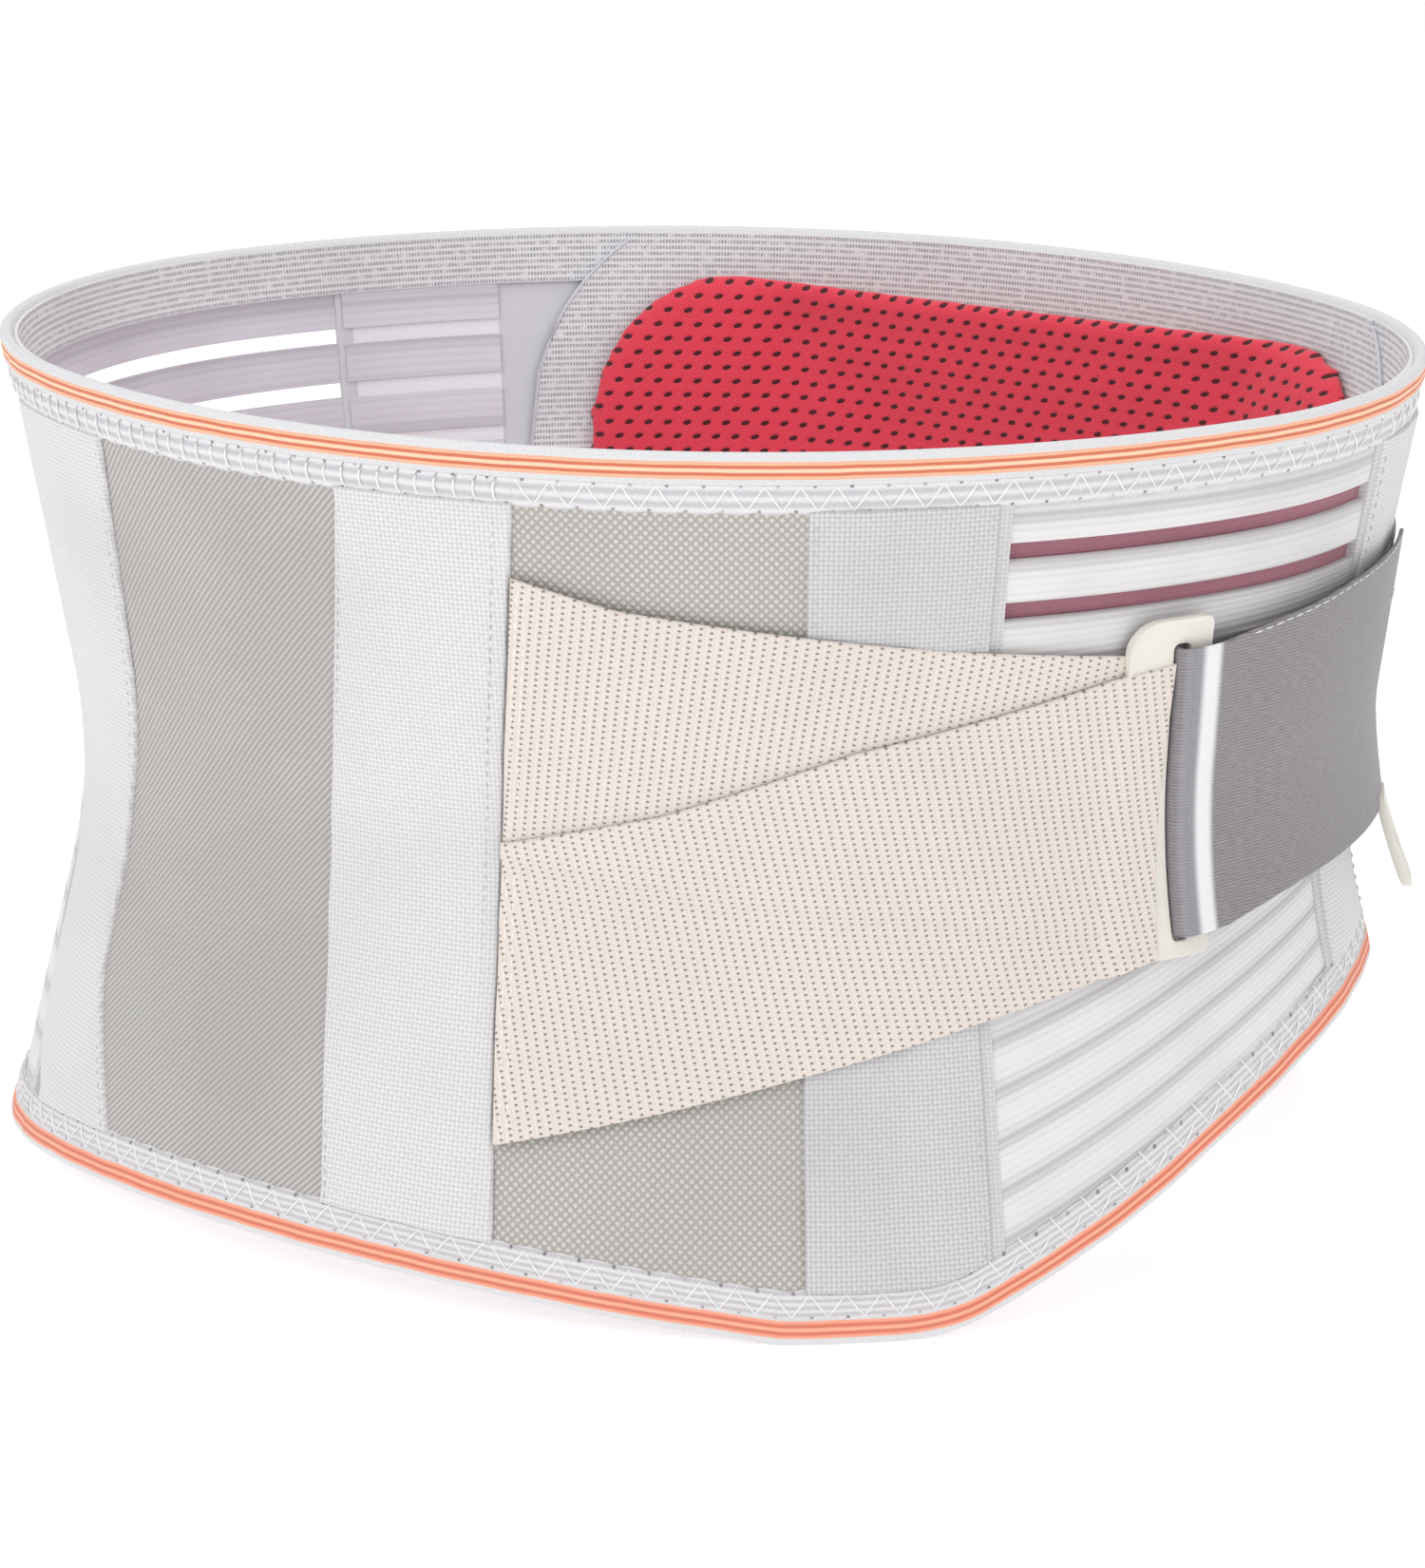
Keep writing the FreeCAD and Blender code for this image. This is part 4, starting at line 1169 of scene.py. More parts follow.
@dataclass(frozen=True)
class Ribbon:
    """A strap that follows a line in arc length and distance outwards, in millimetres.

    places are the points of its middle line, and low and high give its edges along that line.
    """

    name: str
    places: Array
    low: Curve
    high: Curve
    thick: float
    finish: str
    rows: float = 5.0
    start_u: float = 0.0
    drift: Callable[[Array, Array], tuple[Array, Array]] | None = None

    def build(self, finishes: Finishes) -> bpy.types.Object:
        """Makes the strap; drift adds to arc length and distance outwards by run and height."""
        ahead = np.gradient(self.places, axis=0)
        ahead /= np.linalg.norm(ahead, axis=1, keepdims=True)
        side = np.stack([-ahead[:, 1], ahead[:, 0]], axis=1)
        run = np.concatenate([[0], np.cumsum(np.linalg.norm(np.diff(self.places, axis=0), axis=1))])
        share = spaced(0.0, 79.0, self.rows, 0.8) / 79.0
        low, high = self.low(run)[:, None], self.high(run)[:, None]
        z = low + (high - low) * share[None, :]
        half = self.thick / 2 * (0.25 + 0.75 * round_off(np.minimum(share, 1 - share) * 79.0, 0.8))
        grids = []
        for way in (1, -1):
            s = self.places[:, 0:1] + way * side[:, 0:1] * half[None, :]
            out = self.places[:, 1:2] + way * side[:, 1:2] * half[None, :]
            if self.drift is not None:
                along, outwards = self.drift(run[:, None], z)
                s, out = s + along, out + outwards
            grids.append(FORM.place(s, z, out))
        if self.places[-1, 0] < self.places[0, 0]:
            grids.reverse()
        uv = np.stack([np.repeat(run[:, None] + self.start_u, len(share), axis=1), z], axis=-1)
        return closed_sheet(self.name, grids[0], grids[1], uv, finishes[self.finish])


# ------------------------------------------------------------------ hard pieces shaped from primitives

class FlatShape:
    """A hard piece shaped flat: x along the wall, y up and z outwards from the piece's middle, in metres."""

    def __init__(self, name: str, size: tuple[float, float, float]) -> None:
        """Starts from a box of that size in millimetres."""
        bpy.ops.object.select_all(action="DESELECT")
        bpy.ops.mesh.primitive_cube_add(size=1.0)
        self.piece = bpy.context.active_object
        self.piece.name = name
        bpy.ops.object.mode_set(mode="EDIT")
        bpy.ops.mesh.select_all(action="SELECT")
        bpy.ops.transform.resize(value=tuple(side * MM for side in size), center_override=(0, 0, 0))
        bpy.ops.object.mode_set(mode="OBJECT")

    def pick(self, mode: str, wanted: Callable[[bpy.types.Mesh, object], bool]) -> None:
        """Selects the edges or faces that a test wants, and goes into edit mode."""
        mesh = self.piece.data
        bpy.ops.object.mode_set(mode="EDIT")
        bpy.ops.mesh.select_mode(type=mode)
        bpy.ops.mesh.select_all(action="DESELECT")
        bpy.ops.object.mode_set(mode="OBJECT")
        for item in (mesh.edges if mode == "EDGE" else mesh.polygons):
            item.select = wanted(mesh, item)
        bpy.ops.object.mode_set(mode="EDIT")

    def round_corners(self, front: bool, radius: float, segments: int = 8) -> None:
        """Rounds the two upright corners at one end in x."""
        def corner(mesh: bpy.types.Mesh, edge: bpy.types.MeshEdge) -> bool:
            """Whether the edge runs through the piece at that end."""
            a, b = (mesh.vertices[index].co for index in edge.vertices)
            through = abs(a.x - b.x) < 1e-6 and abs(a.y - b.y) < 1e-6
            return through and (a.x < 0) == front
        self.pick("EDGE", corner)
        bpy.ops.mesh.bevel(offset=radius * MM, segments=segments, profile=0.5, affect="EDGES")
        bpy.ops.object.mode_set(mode="OBJECT")

    def sink_face(self, inset: float, depth: float) -> None:
        """Sinks the outer face inside a rim."""
        self.pick("FACE", lambda mesh, face: face.normal.z > 0.9)
        bpy.ops.mesh.inset(thickness=inset * MM, depth=0)
        bpy.ops.transform.translate(value=(0, 0, -depth * MM))
        bpy.ops.object.mode_set(mode="OBJECT")

    def pierce(self, centre: tuple[float, float], size: tuple[float, float], radius: float) -> None:
        """Cuts a rounded opening through the piece."""
        cutter = FlatShape("cutter", (size[0], size[1], 20.0))
        for front in (True, False):
            cutter.round_corners(front, radius, 5)
        cutter.shift(centre)
        bpy.ops.object.select_all(action="DESELECT")
        bpy.context.view_layer.objects.active = self.piece
        cut = self.piece.modifiers.new("opening", "BOOLEAN")
        cut.operation = "DIFFERENCE"
        cut.solver = "EXACT"
        cut.object = cutter.piece
        bpy.ops.object.modifier_apply(modifier=cut.name)
        bpy.data.objects.remove(cutter.piece)

    def shift(self, by: tuple[float, float]) -> None:
        """Moves the whole piece in its own flat space."""
        self.pick("FACE", lambda mesh, face: True)
        bpy.ops.transform.translate(value=(by[0] * MM, by[1] * MM, 0))
        bpy.ops.object.mode_set(mode="OBJECT")

    def soften(self, width: float) -> None:
        """Rounds all sharp edges."""
        bpy.context.view_layer.objects.active = self.piece
        soft = self.piece.modifiers.new("soft edges", "BEVEL")
        soft.width = width * MM
        soft.segments = 2
        soft.limit_method = "ANGLE"
        soft.angle_limit = math.radians(35)
        bpy.ops.object.modifier_apply(modifier=soft.name)

    def wrap(self, s: float, z: float, out: float, way: int, step: float, material: bpy.types.Material,
             slant: Callable[[Array], Array] = np.zeros_like, lean: float = 0.0) -> bpy.types.Object:
        """Cuts the piece into short stretches and lays it on the wall.

        Args:
            s: Arc length of its middle.
            z: Height of its middle.
            out: Distance outwards of its middle.
            way: 1 where x runs towards higher arc lengths, and -1 the other way.
            step: Length of a stretch.
            material: Finish of the piece.
            slant: Shift along x by height.
            lean: How far it leans outwards for each millimetre up.

        Returns:
            The finished object.
        """
        mesh = self.piece.data
        corners = np.array([vertex.co[:] for vertex in mesh.vertices])
        for axis, normal in ((0, (1, 0, 0)), (1, (0, 1, 0))):
            low, high = corners[:, axis].min(), corners[:, axis].max()
            for cut in np.arange(low + step * MM, high - step * MM * 0.4, step * MM):
                self.pick("FACE", lambda mesh, face: True)
                bpy.ops.mesh.bisect(plane_co=tuple(cut * n for n in normal), plane_no=normal)
                bpy.ops.object.mode_set(mode="OBJECT")
        self.pick("FACE", lambda mesh, face: True)
        bpy.ops.mesh.remove_doubles(threshold=1e-5)
        if way < 0:
            bpy.ops.mesh.flip_normals()
        bpy.ops.object.mode_set(mode="OBJECT")
        flat = np.array([vertex.co[:] for vertex in mesh.vertices]) / MM
        along = s + way * (flat[:, 0] + slant(z + flat[:, 1]))
        placed = FORM.place(along, z + flat[:, 1], out + flat[:, 2] + lean * flat[:, 1]) * MM
        mesh.vertices.foreach_set("co", placed.ravel())
        mesh.materials.clear()
        mesh.materials.append(material)
        mesh.polygons.foreach_set("use_smooth", [True] * len(mesh.polygons))
        mesh.set_sharp_from_angle(angle=math.radians(35))
        mesh.update()
        return self.piece


# ------------------------------------------------------------------ sub-assemblies

def spot(s: float, z: float = 120.0) -> tuple[float, float, float]:
    """A point of the wall in metres."""
    return tuple(float(v) * MM for v in FORM.place(s, z, 0.0))


@dataclass
class Assembly:
    """What all sub-assemblies share: finishes, and how a piece joins the frame."""

    finishes: Finishes

    def join(self, piece: bpy.types.Object, body: Body, slot: str, nodes: Sequence[str] = (),
             bend: tuple[Body, Body, float, float] | None = None) -> bpy.types.Object:
        """Makes a piece ride a body; where it crosses a joint, its place is baked and it rides no body.

        Args:
            piece: The finished piece.
            body: The body it rides.
            slot: Not used.
            nodes: CAD nodes that it stands for.
            bend: The two bodies and two arc lengths of a joint that it crosses, or None; where given, the
                piece rides no body.

        Returns:
            The piece.
        """
        if bend is None:
            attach(piece, body.value)
        else:
            spot(bend[2])
            spot(bend[3])
            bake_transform(piece)
        if nodes:
            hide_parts(*nodes)
        LOG.info("%s: %d faces on %s", piece.name, len(piece.data.polygons), body.value)
        return piece

    def cloth(self, cloth: Cloth, body: Body, slot: str, nodes: Sequence[str] = (),
              bend: tuple[Body, Body, float, float] | None = None, lies_on: str = "") -> bpy.types.Object:
        piece = self.join(cloth.build(self.finishes), body, slot, nodes, bend)
        s = np.linspace(cloth.start, cloth.end, 60)
        tall = cloth.high(s) - cloth.low(s)
        flat = ((cloth.end - cloth.start) * MM, float(tall.max()) * MM)
        area = float(tall.mean()) * MM * flat[0]
        if min(flat) > 0.02:
            min(area, flat[0] * flat[1])
        return piece


RIGHT_END = Seam.FAR_FRONT.value
HINGE_BEND = (Body.BELT, Body.FLAP, RIGHT_END - 30.0, RIGHT_END - 1.0)
PANEL_LOW = hem_line(5.5)
PANEL_HIGH = level(222.5)
STRIP_LOW = hem_line(12.6)
STRIP_HIGH = level(215.0)


@dataclass
class Flap(Assembly):
    """The outer front wing that closes over the tongue."""

    def build(self) -> None:
        """Makes the wing's cloths, strips and fastening."""
        start, end = Seam.FLAP_REAR.value, Seam.FLAP_EDGE.value
        edge, rear = Seam.FLAP_STRIP.value, Seam.TWILL_REAR.value
        self.cloth(Cloth("flap_twill", start, end, PANEL_LOW, PANEL_HIGH, -1.2, 0.0, "twill",
                         relief=ripple(70.0, 0.35, 0.4), end_seam=Seam.FLAP_EDGE), Body.FLAP, "twill",
                   ["flap_panel"])
        self.cloth(Cloth("flap_backing", start, end, PANEL_LOW, PANEL_HIGH, -2.0, -1.3, "lining",
                         end_seam=Seam.FLAP_EDGE), Body.FLAP, "lining", ["flap_lining"])
        self.cloth(Cloth("flap_rear_tape", start, rear, STRIP_LOW, STRIP_HIGH, 0.0, 1.5, "silver_cloth",
                         relief=ripple(40.0, 0.25, 1.0), step=2.5, edge=0.9, start_seam=Seam.FLAP_REAR,
                         end_seam=Seam.TWILL_REAR), Body.FLAP, "silver_cloth", ["flap_rear_strip"],
                   lies_on="flap_twill")
        for index, place in enumerate((start + 14.0, rear - 14.0)):
            stay = Cloth("flap_rear_stay_%d" % index, place - 6.0, place + 6.0, level(30.0), level(207.0),
                         0.3, 1.1, "stay_steel", start_seam=Seam.TWILL_REAR, end_seam=Seam.TWILL_REAR)
            nodes = () if index else ["flap_rear_stays"]
            self.join(stay.build(self.finishes), Body.FLAP, "stay_steel", nodes)
        stays = channels([edge + 14.0, end - 14.0], 9.0, 0.35)
        self.cloth(Cloth("flap_edge_tape", edge, end, STRIP_LOW, STRIP_HIGH, 0.0, 1.7, "silver_cloth",
                         relief=both(stays, ripple(55.0, 0.35, 2.0)), step=2.0, edge=0.9,
                         start_seam=Seam.FLAP_STRIP, end_seam=Seam.FLAP_EDGE),
                   Body.FLAP, "silver_cloth", ["flap_edge_strip"], lies_on="flap_twill")
        self.cloth(Cloth("flap_hooks", -84.0, -30.0, level(44.0), level(190.0), -3.0, -2.0, "hook_tape"),
                   Body.FLAP, "hook_tape", ["flap_hook_patch"])
        threads = Stitches("flap_stitches", "grey_thread", 0.22)
        for s, out, seam in ((edge + 1.6, 1.7, Seam.FLAP_STRIP), (rear - 1.8, 1.5, Seam.TWILL_REAR),
                             (end - 4.6, 1.8, Seam.FLAP_EDGE)):
            threads.upright(s, float(FORM.hem(s)) + 14.0, 214.0, out, 1.6, 1.5, seam)
        self.join(threads.build(self.finishes), Body.FLAP, "seam_tape")


@dataclass
class FrontWing(Assembly):
    """The inner front wing, with its strip and the tongue that the closing wing fastens to."""

    def build(self) -> None:
        """Makes the wing's cloths, strip and tongue."""
        start, end = Seam.FLAP_EDGE.value + 0.05, Seam.ELASTIC_FRONT.value
        strip = Seam.FRONT_STRIP.value
        self.cloth(Cloth("front_weave", start, end, PANEL_LOW, PANEL_HIGH, -1.2, 0.0, "cross_weave",
                         relief=ripple(60.0, 0.3, 3.0), start_seam=Seam.FLAP_EDGE), Body.BELT, "cross_weave",
                   ["left_front_panel"])
        self.cloth(Cloth("front_backing", start, end, PANEL_LOW, PANEL_HIGH, -2.0, -1.3, "lining",
                         start_seam=Seam.FLAP_EDGE), Body.BELT, "lining", ["left_front_lining"])
        stays = channels([strip + 14.0, end - 14.0], 9.0, 0.45)
        self.cloth(Cloth("front_tape", strip, end, STRIP_LOW, STRIP_HIGH, 0.0, 1.5, "silver_grey_cloth",
                         relief=both(stays, ripple(22.0, 0.5, 0.0)), step=2.0, edge=0.9),
                   Body.BELT, "silver_cloth", ["left_front_strip"], lies_on="front_weave")
        threads = Stitches("front_stitches", "grey_thread", 0.22)
        for s in (strip + 1.8, end - 1.8):
            threads.upright(s, float(FORM.hem(s)) + 14.0, 214.0, 1.55, 1.6, 1.5)
        self.join(threads.build(self.finishes), Body.BELT, "seam_tape")
        self.cloth(Cloth("tongue", -98.0, 13.0, self.rounded(28.0, 1), self.rounded(206.0, -1), -5.6, -4.6,
                         "lining"), Body.BELT, "lining", ["closure_tongue"])
        self.cloth(Cloth("tongue_loops", -88.0, -27.0, level(40.0), level(194.0), -4.6, -3.7, "loop_pile"),
                   Body.BELT, "loop_pile", ["tongue_loop_patch"])

    @staticmethod
    def rounded(height: float, way: int, radius: float = 16.0) -> Curve:
        """Edge of the tongue, drawn in round its free corner."""
        def edge(s: Array) -> Array:
            """Height of the edge."""
            reach = np.clip(radius - (np.asarray(s) + 98.0), 0, radius)
            return height + way * (radius - np.sqrt(radius ** 2 - reach ** 2))
        return edge


@dataclass
class ElasticSide(Assembly):
    """One elastic side: bands with slots between them, a painted shade sheet behind the left side's slots,
    and posts at their ends.
    """

    side: str = "left"
    start: float = 105.0
    end: float = 235.0
    slots: tuple[float, ...] = (183.8, 199.6)
    bend: tuple[Body, Body, float, float] | None = None

    def build(self) -> None:
        """Makes the bands from the rim down, then the posts."""
        tops = [222.5, *reversed(self.slots)]
        feet = [slot + 4.2 for slot in reversed(self.slots)] + [0.0]
        node = self.side + "_elastic"
        for index, (high, foot) in enumerate(zip(tops, feet)):
            lowest = foot == 0.0
            low = hem_line(5.5) if lowest else level(foot)
            nominal = (high - 10.0) if lowest else 0.0
            band = Cloth("%s_band_%d" % (self.side, index), self.start - 1.0, self.end + 1.0, low,
                         level(high), -1.9, -0.1, "ribbed_elastic", step=3.0, rows=2.1 if lowest else 1.6,
                         relief=ripple(45.0, 0.3, index * 1.7), nominal=nominal, inside="ribbed_lavender",
                         edge=0.7)
            self.cloth(band, Body.BELT, "ribbed_elastic", [node] if index == 0 else (), self.bend)
        # Painted shade: a mauve sheet behind the left slots stands for the shaded red pad seen through them.
        if self.side == "left":
            slot_shade_sheet = Cloth("painted_slot_shade", self.start + 1.0, self.end - 1.0, level(181.0), level(206.0),
                          -2.5, -2.1, "painted_slot_shade", inside="lining")
            self.cloth(slot_shade_sheet, Body.BELT, "lining")
        for index, (first, last) in enumerate(((self.start - 1.0, self.start + 4.0),
                                               (self.end - 4.0, self.end + 1.0))):
            post = Cloth("%s_post_%d" % (self.side, index), first, last, hem_line(12.0), level(215.0),
                         -2.3, 0.35, "seam_tape_plain", step=1.2, edge=0.6, inside="lining")
            self.cloth(post, Body.BELT, "ribbed_elastic", (), self.bend)


@dataclass
class BackSection(Assembly):
    """The back: twill panel, stay strips, lining and the cover over the strap ends."""

    def build(self) -> None:
        """Makes the back's cloths."""
        start, end = Seam.ELASTIC_REAR.value, Seam.FAR_ELASTIC.value
        near, far, centre = Seam.BACK_STRIP.value, Seam.FAR_STRIP.value, Seam.BACK_CENTRE.value
        self.cloth(Cloth("back_twill", start, end, PANEL_LOW, PANEL_HIGH, -1.2, 0.0, "twill",
                         relief=ripple(80.0, 0.35, 1.4)), Body.BELT, "twill", ["back_panel"])
        self.cloth(Cloth("back_backing", start, far, PANEL_LOW, PANEL_HIGH, -2.0, -1.3, "lining",
                         inside="lining"), Body.BELT, "lining", ["back_lining"])
        self.cloth(Cloth("side_backing", far, end + 3.0, PANEL_LOW, PANEL_HIGH, -2.0, -1.3, "white_cloth"),
                   Body.BELT, "lining")
        for index, (low, high) in enumerate(((204.0, 221.0), (188.4, 199.4), (172.4, 183.6), (0.0, 168.0))):
            foot = hem_line(7.0) if low == 0.0 else level(low)
            self.cloth(Cloth("side_band_%d" % index, far, end + 2.0, foot, level(high), -2.9, -2.1,
                             "ribbed_lavender", rows=2.0, edge=0.5, nominal=158.0 if low == 0.0 else 0.0,
                             inside="ribbed_lavender"), Body.BELT, "ribbed_elastic")
        spans = [("left_rear_tape", start, near, ["left_rear_strip"]),
                 ("right_rear_tape", far, end, ["right_rear_strip"]),
                 ("back_tape_left", centre - 82.0, centre - 50.0, ["back_strips"]),
                 ("back_tape_right", centre + 50.0, centre + 82.0, [])]
        threads = Stitches("back_stitches", "grey_thread", 0.22)
        for name, first, last, nodes in spans:
            wide = last - first > 40
            places = [first + 14.0, last - 14.0] if wide else [(first + last) / 2]
            self.cloth(Cloth(name, first, last, STRIP_LOW, STRIP_HIGH, 0.0, 1.5, "silver_cloth",
                             relief=both(channels(places, 8.5, 0.45), ripple(35.0, 0.3, first)), step=2.5,
                             edge=0.9), Body.BELT, "silver_cloth", nodes, lies_on="back_twill")
            for s in (first + 1.8, last - 1.8):
                threads.upright(s, float(FORM.hem(s)) + 14.0, 214.0, 1.55, 1.6, 1.5)
        self.join(threads.build(self.finishes), Body.BELT, "seam_tape")
        cover = Cloth("anchor_cover", centre - 82.0, centre + 82.0, self.rounded(92.0, 1, centre),
                      self.rounded(196.0, -1, centre), 3.9, 5.1, "twill", step=3.0, edge=0.7,
                      relief=ripple(60.0, 0.25, 5.0))
        self.cloth(cover, Body.BELT, "twill", ["back_strap_cover"], lies_on="back_twill")

    @staticmethod
    def rounded(height: float, way: int, centre: float, radius: float = 14.0) -> Curve:
        """Edge of the cover, drawn in round its corners."""
        def edge(s: Array) -> Array:
            """Height of the edge."""
            reach = np.clip(radius - (82.0 - np.abs(np.asarray(s) - centre)), 0, radius)
            return height + way * (radius - np.sqrt(radius ** 2 - reach ** 2))
        return edge


@dataclass
class Edging(Assembly):
    """Bindings of the rim and the hem, their stitched tapes, and the knitted facing."""

    def build(self) -> None:
        """Makes the edging of the flap, then of the rest of the belt."""
        flap = (Seam.FLAP_REAR.value, Seam.FLAP_EDGE.value)
        spans = [("flap", *flap, Body.FLAP, None, ["flap_top_binding"], ["flap_hem_binding"]),
                 ("left", flap[1] + 0.03, Seam.ELASTIC_REAR.value, Body.BELT, None, ["top_binding_left"],
                  ["hem_binding_left"]),
                 ("back", Seam.ELASTIC_REAR.value, Seam.FAR_ELASTIC.value, Body.BELT, None,
                  ["top_binding_back"], ["hem_binding_back"]),
                 ("right", Seam.FAR_ELASTIC.value, RIGHT_END, Body.BELT, HINGE_BEND, ["top_binding_right"],
                  ["hem_binding_right"])]
        tapes = {"flap": (["flap_top_seam"], ["flap_hem_seam"], ["flap_top_facing"]),
                 "left": (["top_seam"], ["hem_seam"], ["top_facing"])}
        for name, start, end, body, bend, rim_nodes, hem_nodes in spans:
            top, hem, knit = tapes.get(name, ((), (), ()))
            rim = [place + 7.6 * (abs(place - flap[1]) < 1.0) for place in (start, end)]
            self.join(self.binding(name + "_rim", *rim, True), body, "binding", rim_nodes, bend)
            self.join(self.binding(name + "_hem", start, end, False), body, "binding", hem_nodes, bend)
            self.join(self.tape(name + "_rim_tape", *rim, True), body, "seam_tape", top, bend)
            self.join(self.tape(name + "_hem_tape", start, end, False), body, "seam_tape", hem, bend)
            self.join(self.threads(name, rim, (start, end)), body, "seam_tape", (), bend)
            self.cloth(Cloth(name + "_facing", *rim, level(214.4), level(228.6), -3.4, -2.25, "white_knit",
                             rows=1.2, edge=0.6, inside="white_knit"), body, "white_knit", knit, bend)

    def binding(self, name: str, start: float, end: float, rim: bool) -> bpy.types.Object:
        """Folded binding over the rim or the hem."""
        shape = [(0.05, 8.6), (1.0, 8.3), (1.45, 7.4), (1.3, 6.9), (1.5, 6.1), (1.35, 5.5), (1.5, 4.8),
                 (1.35, 4.2), (1.5, 3.4), (1.3, 2.7), (1.42, 1.8), (1.1, 0.8), (0.4, 0.2), (-0.7, 0.0),
                 (-1.6, 0.3), (-2.1, 0.9), (-2.3, 1.9), (-2.3, 3.4), (-2.3, 4.6), (-2.3, 6.0),
                 (-2.2, 7.8), (-1.8, 8.6)]
        profile = np.array(shape)
        scale = 1.0 if rim else 6.8 / 8.6
        depth = profile[:, 1] * scale
        s = spaced(start, end, 3.0)
        edge = np.full(len(s), 230.0) if rim else FORM.hem(s)
        way = -1.0 if rim else 1.0
        wobble = 0.12 * np.sin(s / 7.0) + 0.1 * np.sin(s / 3.1 + 1.0)
        outer = np.where(profile[:, 0] > 0.9, 1, 0)
        out = np.repeat(profile[None, :, 0], len(s), axis=0) + outer * wobble[:, None]
        z = edge[:, None] + way * depth[None, :]
        depth = np.where(np.arange(len(depth)) > 13, -depth, depth)
        if not rim:
            out, z = out[:, ::-1], z[:, ::-1]
            depth = depth[::-1]
        finish = self.finishes["rim_binding" if rim else "hem_binding"]
        return sweep(name, s, lambda _: (out, z), depth, finish)

    def tape(self, name: str, start: float, end: float, rim: bool) -> bpy.types.Object:
        """Stitched tape beside a binding, with a scalloped edge."""
        s = spaced(start, end, 1.1)
        scallop = 0.75 * np.abs(np.sin(s * math.pi / 8.8))
        width = (7.4 if rim else 6.9) + scallop * (1.0 if rim else 0.5)
        share = np.array([0.0, 0.04, 0.1, 0.25, 0.42, 0.6, 0.78, 0.9, 0.96, 1.0])
        raised = 0.55 + 0.5 * np.sin(np.clip(share * math.pi, 0, math.pi)) ** 0.5
        raised = raised * np.array([0.7, 1, 1, 1, 1, 1, 1, 0.95, 0.7, 0.3])
        ribs = 0.1 * np.sin(share * 2 * math.pi * 3)
        depth = share[None, :] * width[:, None]
        base = np.full(len(s), 221.9) if rim else FORM.hem(s) + 6.3
        z = base[:, None] + (-1 if rim else 1) * depth
        pucker = 0.14 * np.sin(s * 2 * math.pi / 8.8)[:, None] * np.sin(share * math.pi)[None, :]
        out = (raised + ribs)[None, :] + pucker
        along = np.repeat(s[:, None], len(share), axis=1)
        uv = np.stack([along, depth], axis=-1)
        outer, inner = FORM.place(along, z, out), FORM.place(along, z, 0.0)
        if rim:
            outer, inner, uv = outer[:, ::-1], inner[:, ::-1], uv[:, ::-1]
        return closed_sheet(name, outer, inner, uv, self.finishes["seam_tape" if rim else "hem_tape"])

    def threads(self, name: str, rim: Sequence[float], hem: Sequence[float]) -> bpy.types.Object:
        """Zigzag threads of the rim and hem tapes."""
        threads = Stitches(name + "_zigzag", "white_thread", 0.3)
        loops = name == "flap"
        pitch = 5.2 if loops else 8.8
        threads.zigzag(rim[0] + 1.0, rim[1] - 1.0, level(215.0), level(221.4), pitch, 1.05, loops)
        threads.zigzag(hem[0] + 1.0, hem[1] - 1.0, hem_line(7.0), hem_line(12.6), 9.0, 1.05)
        return threads.build(self.finishes)


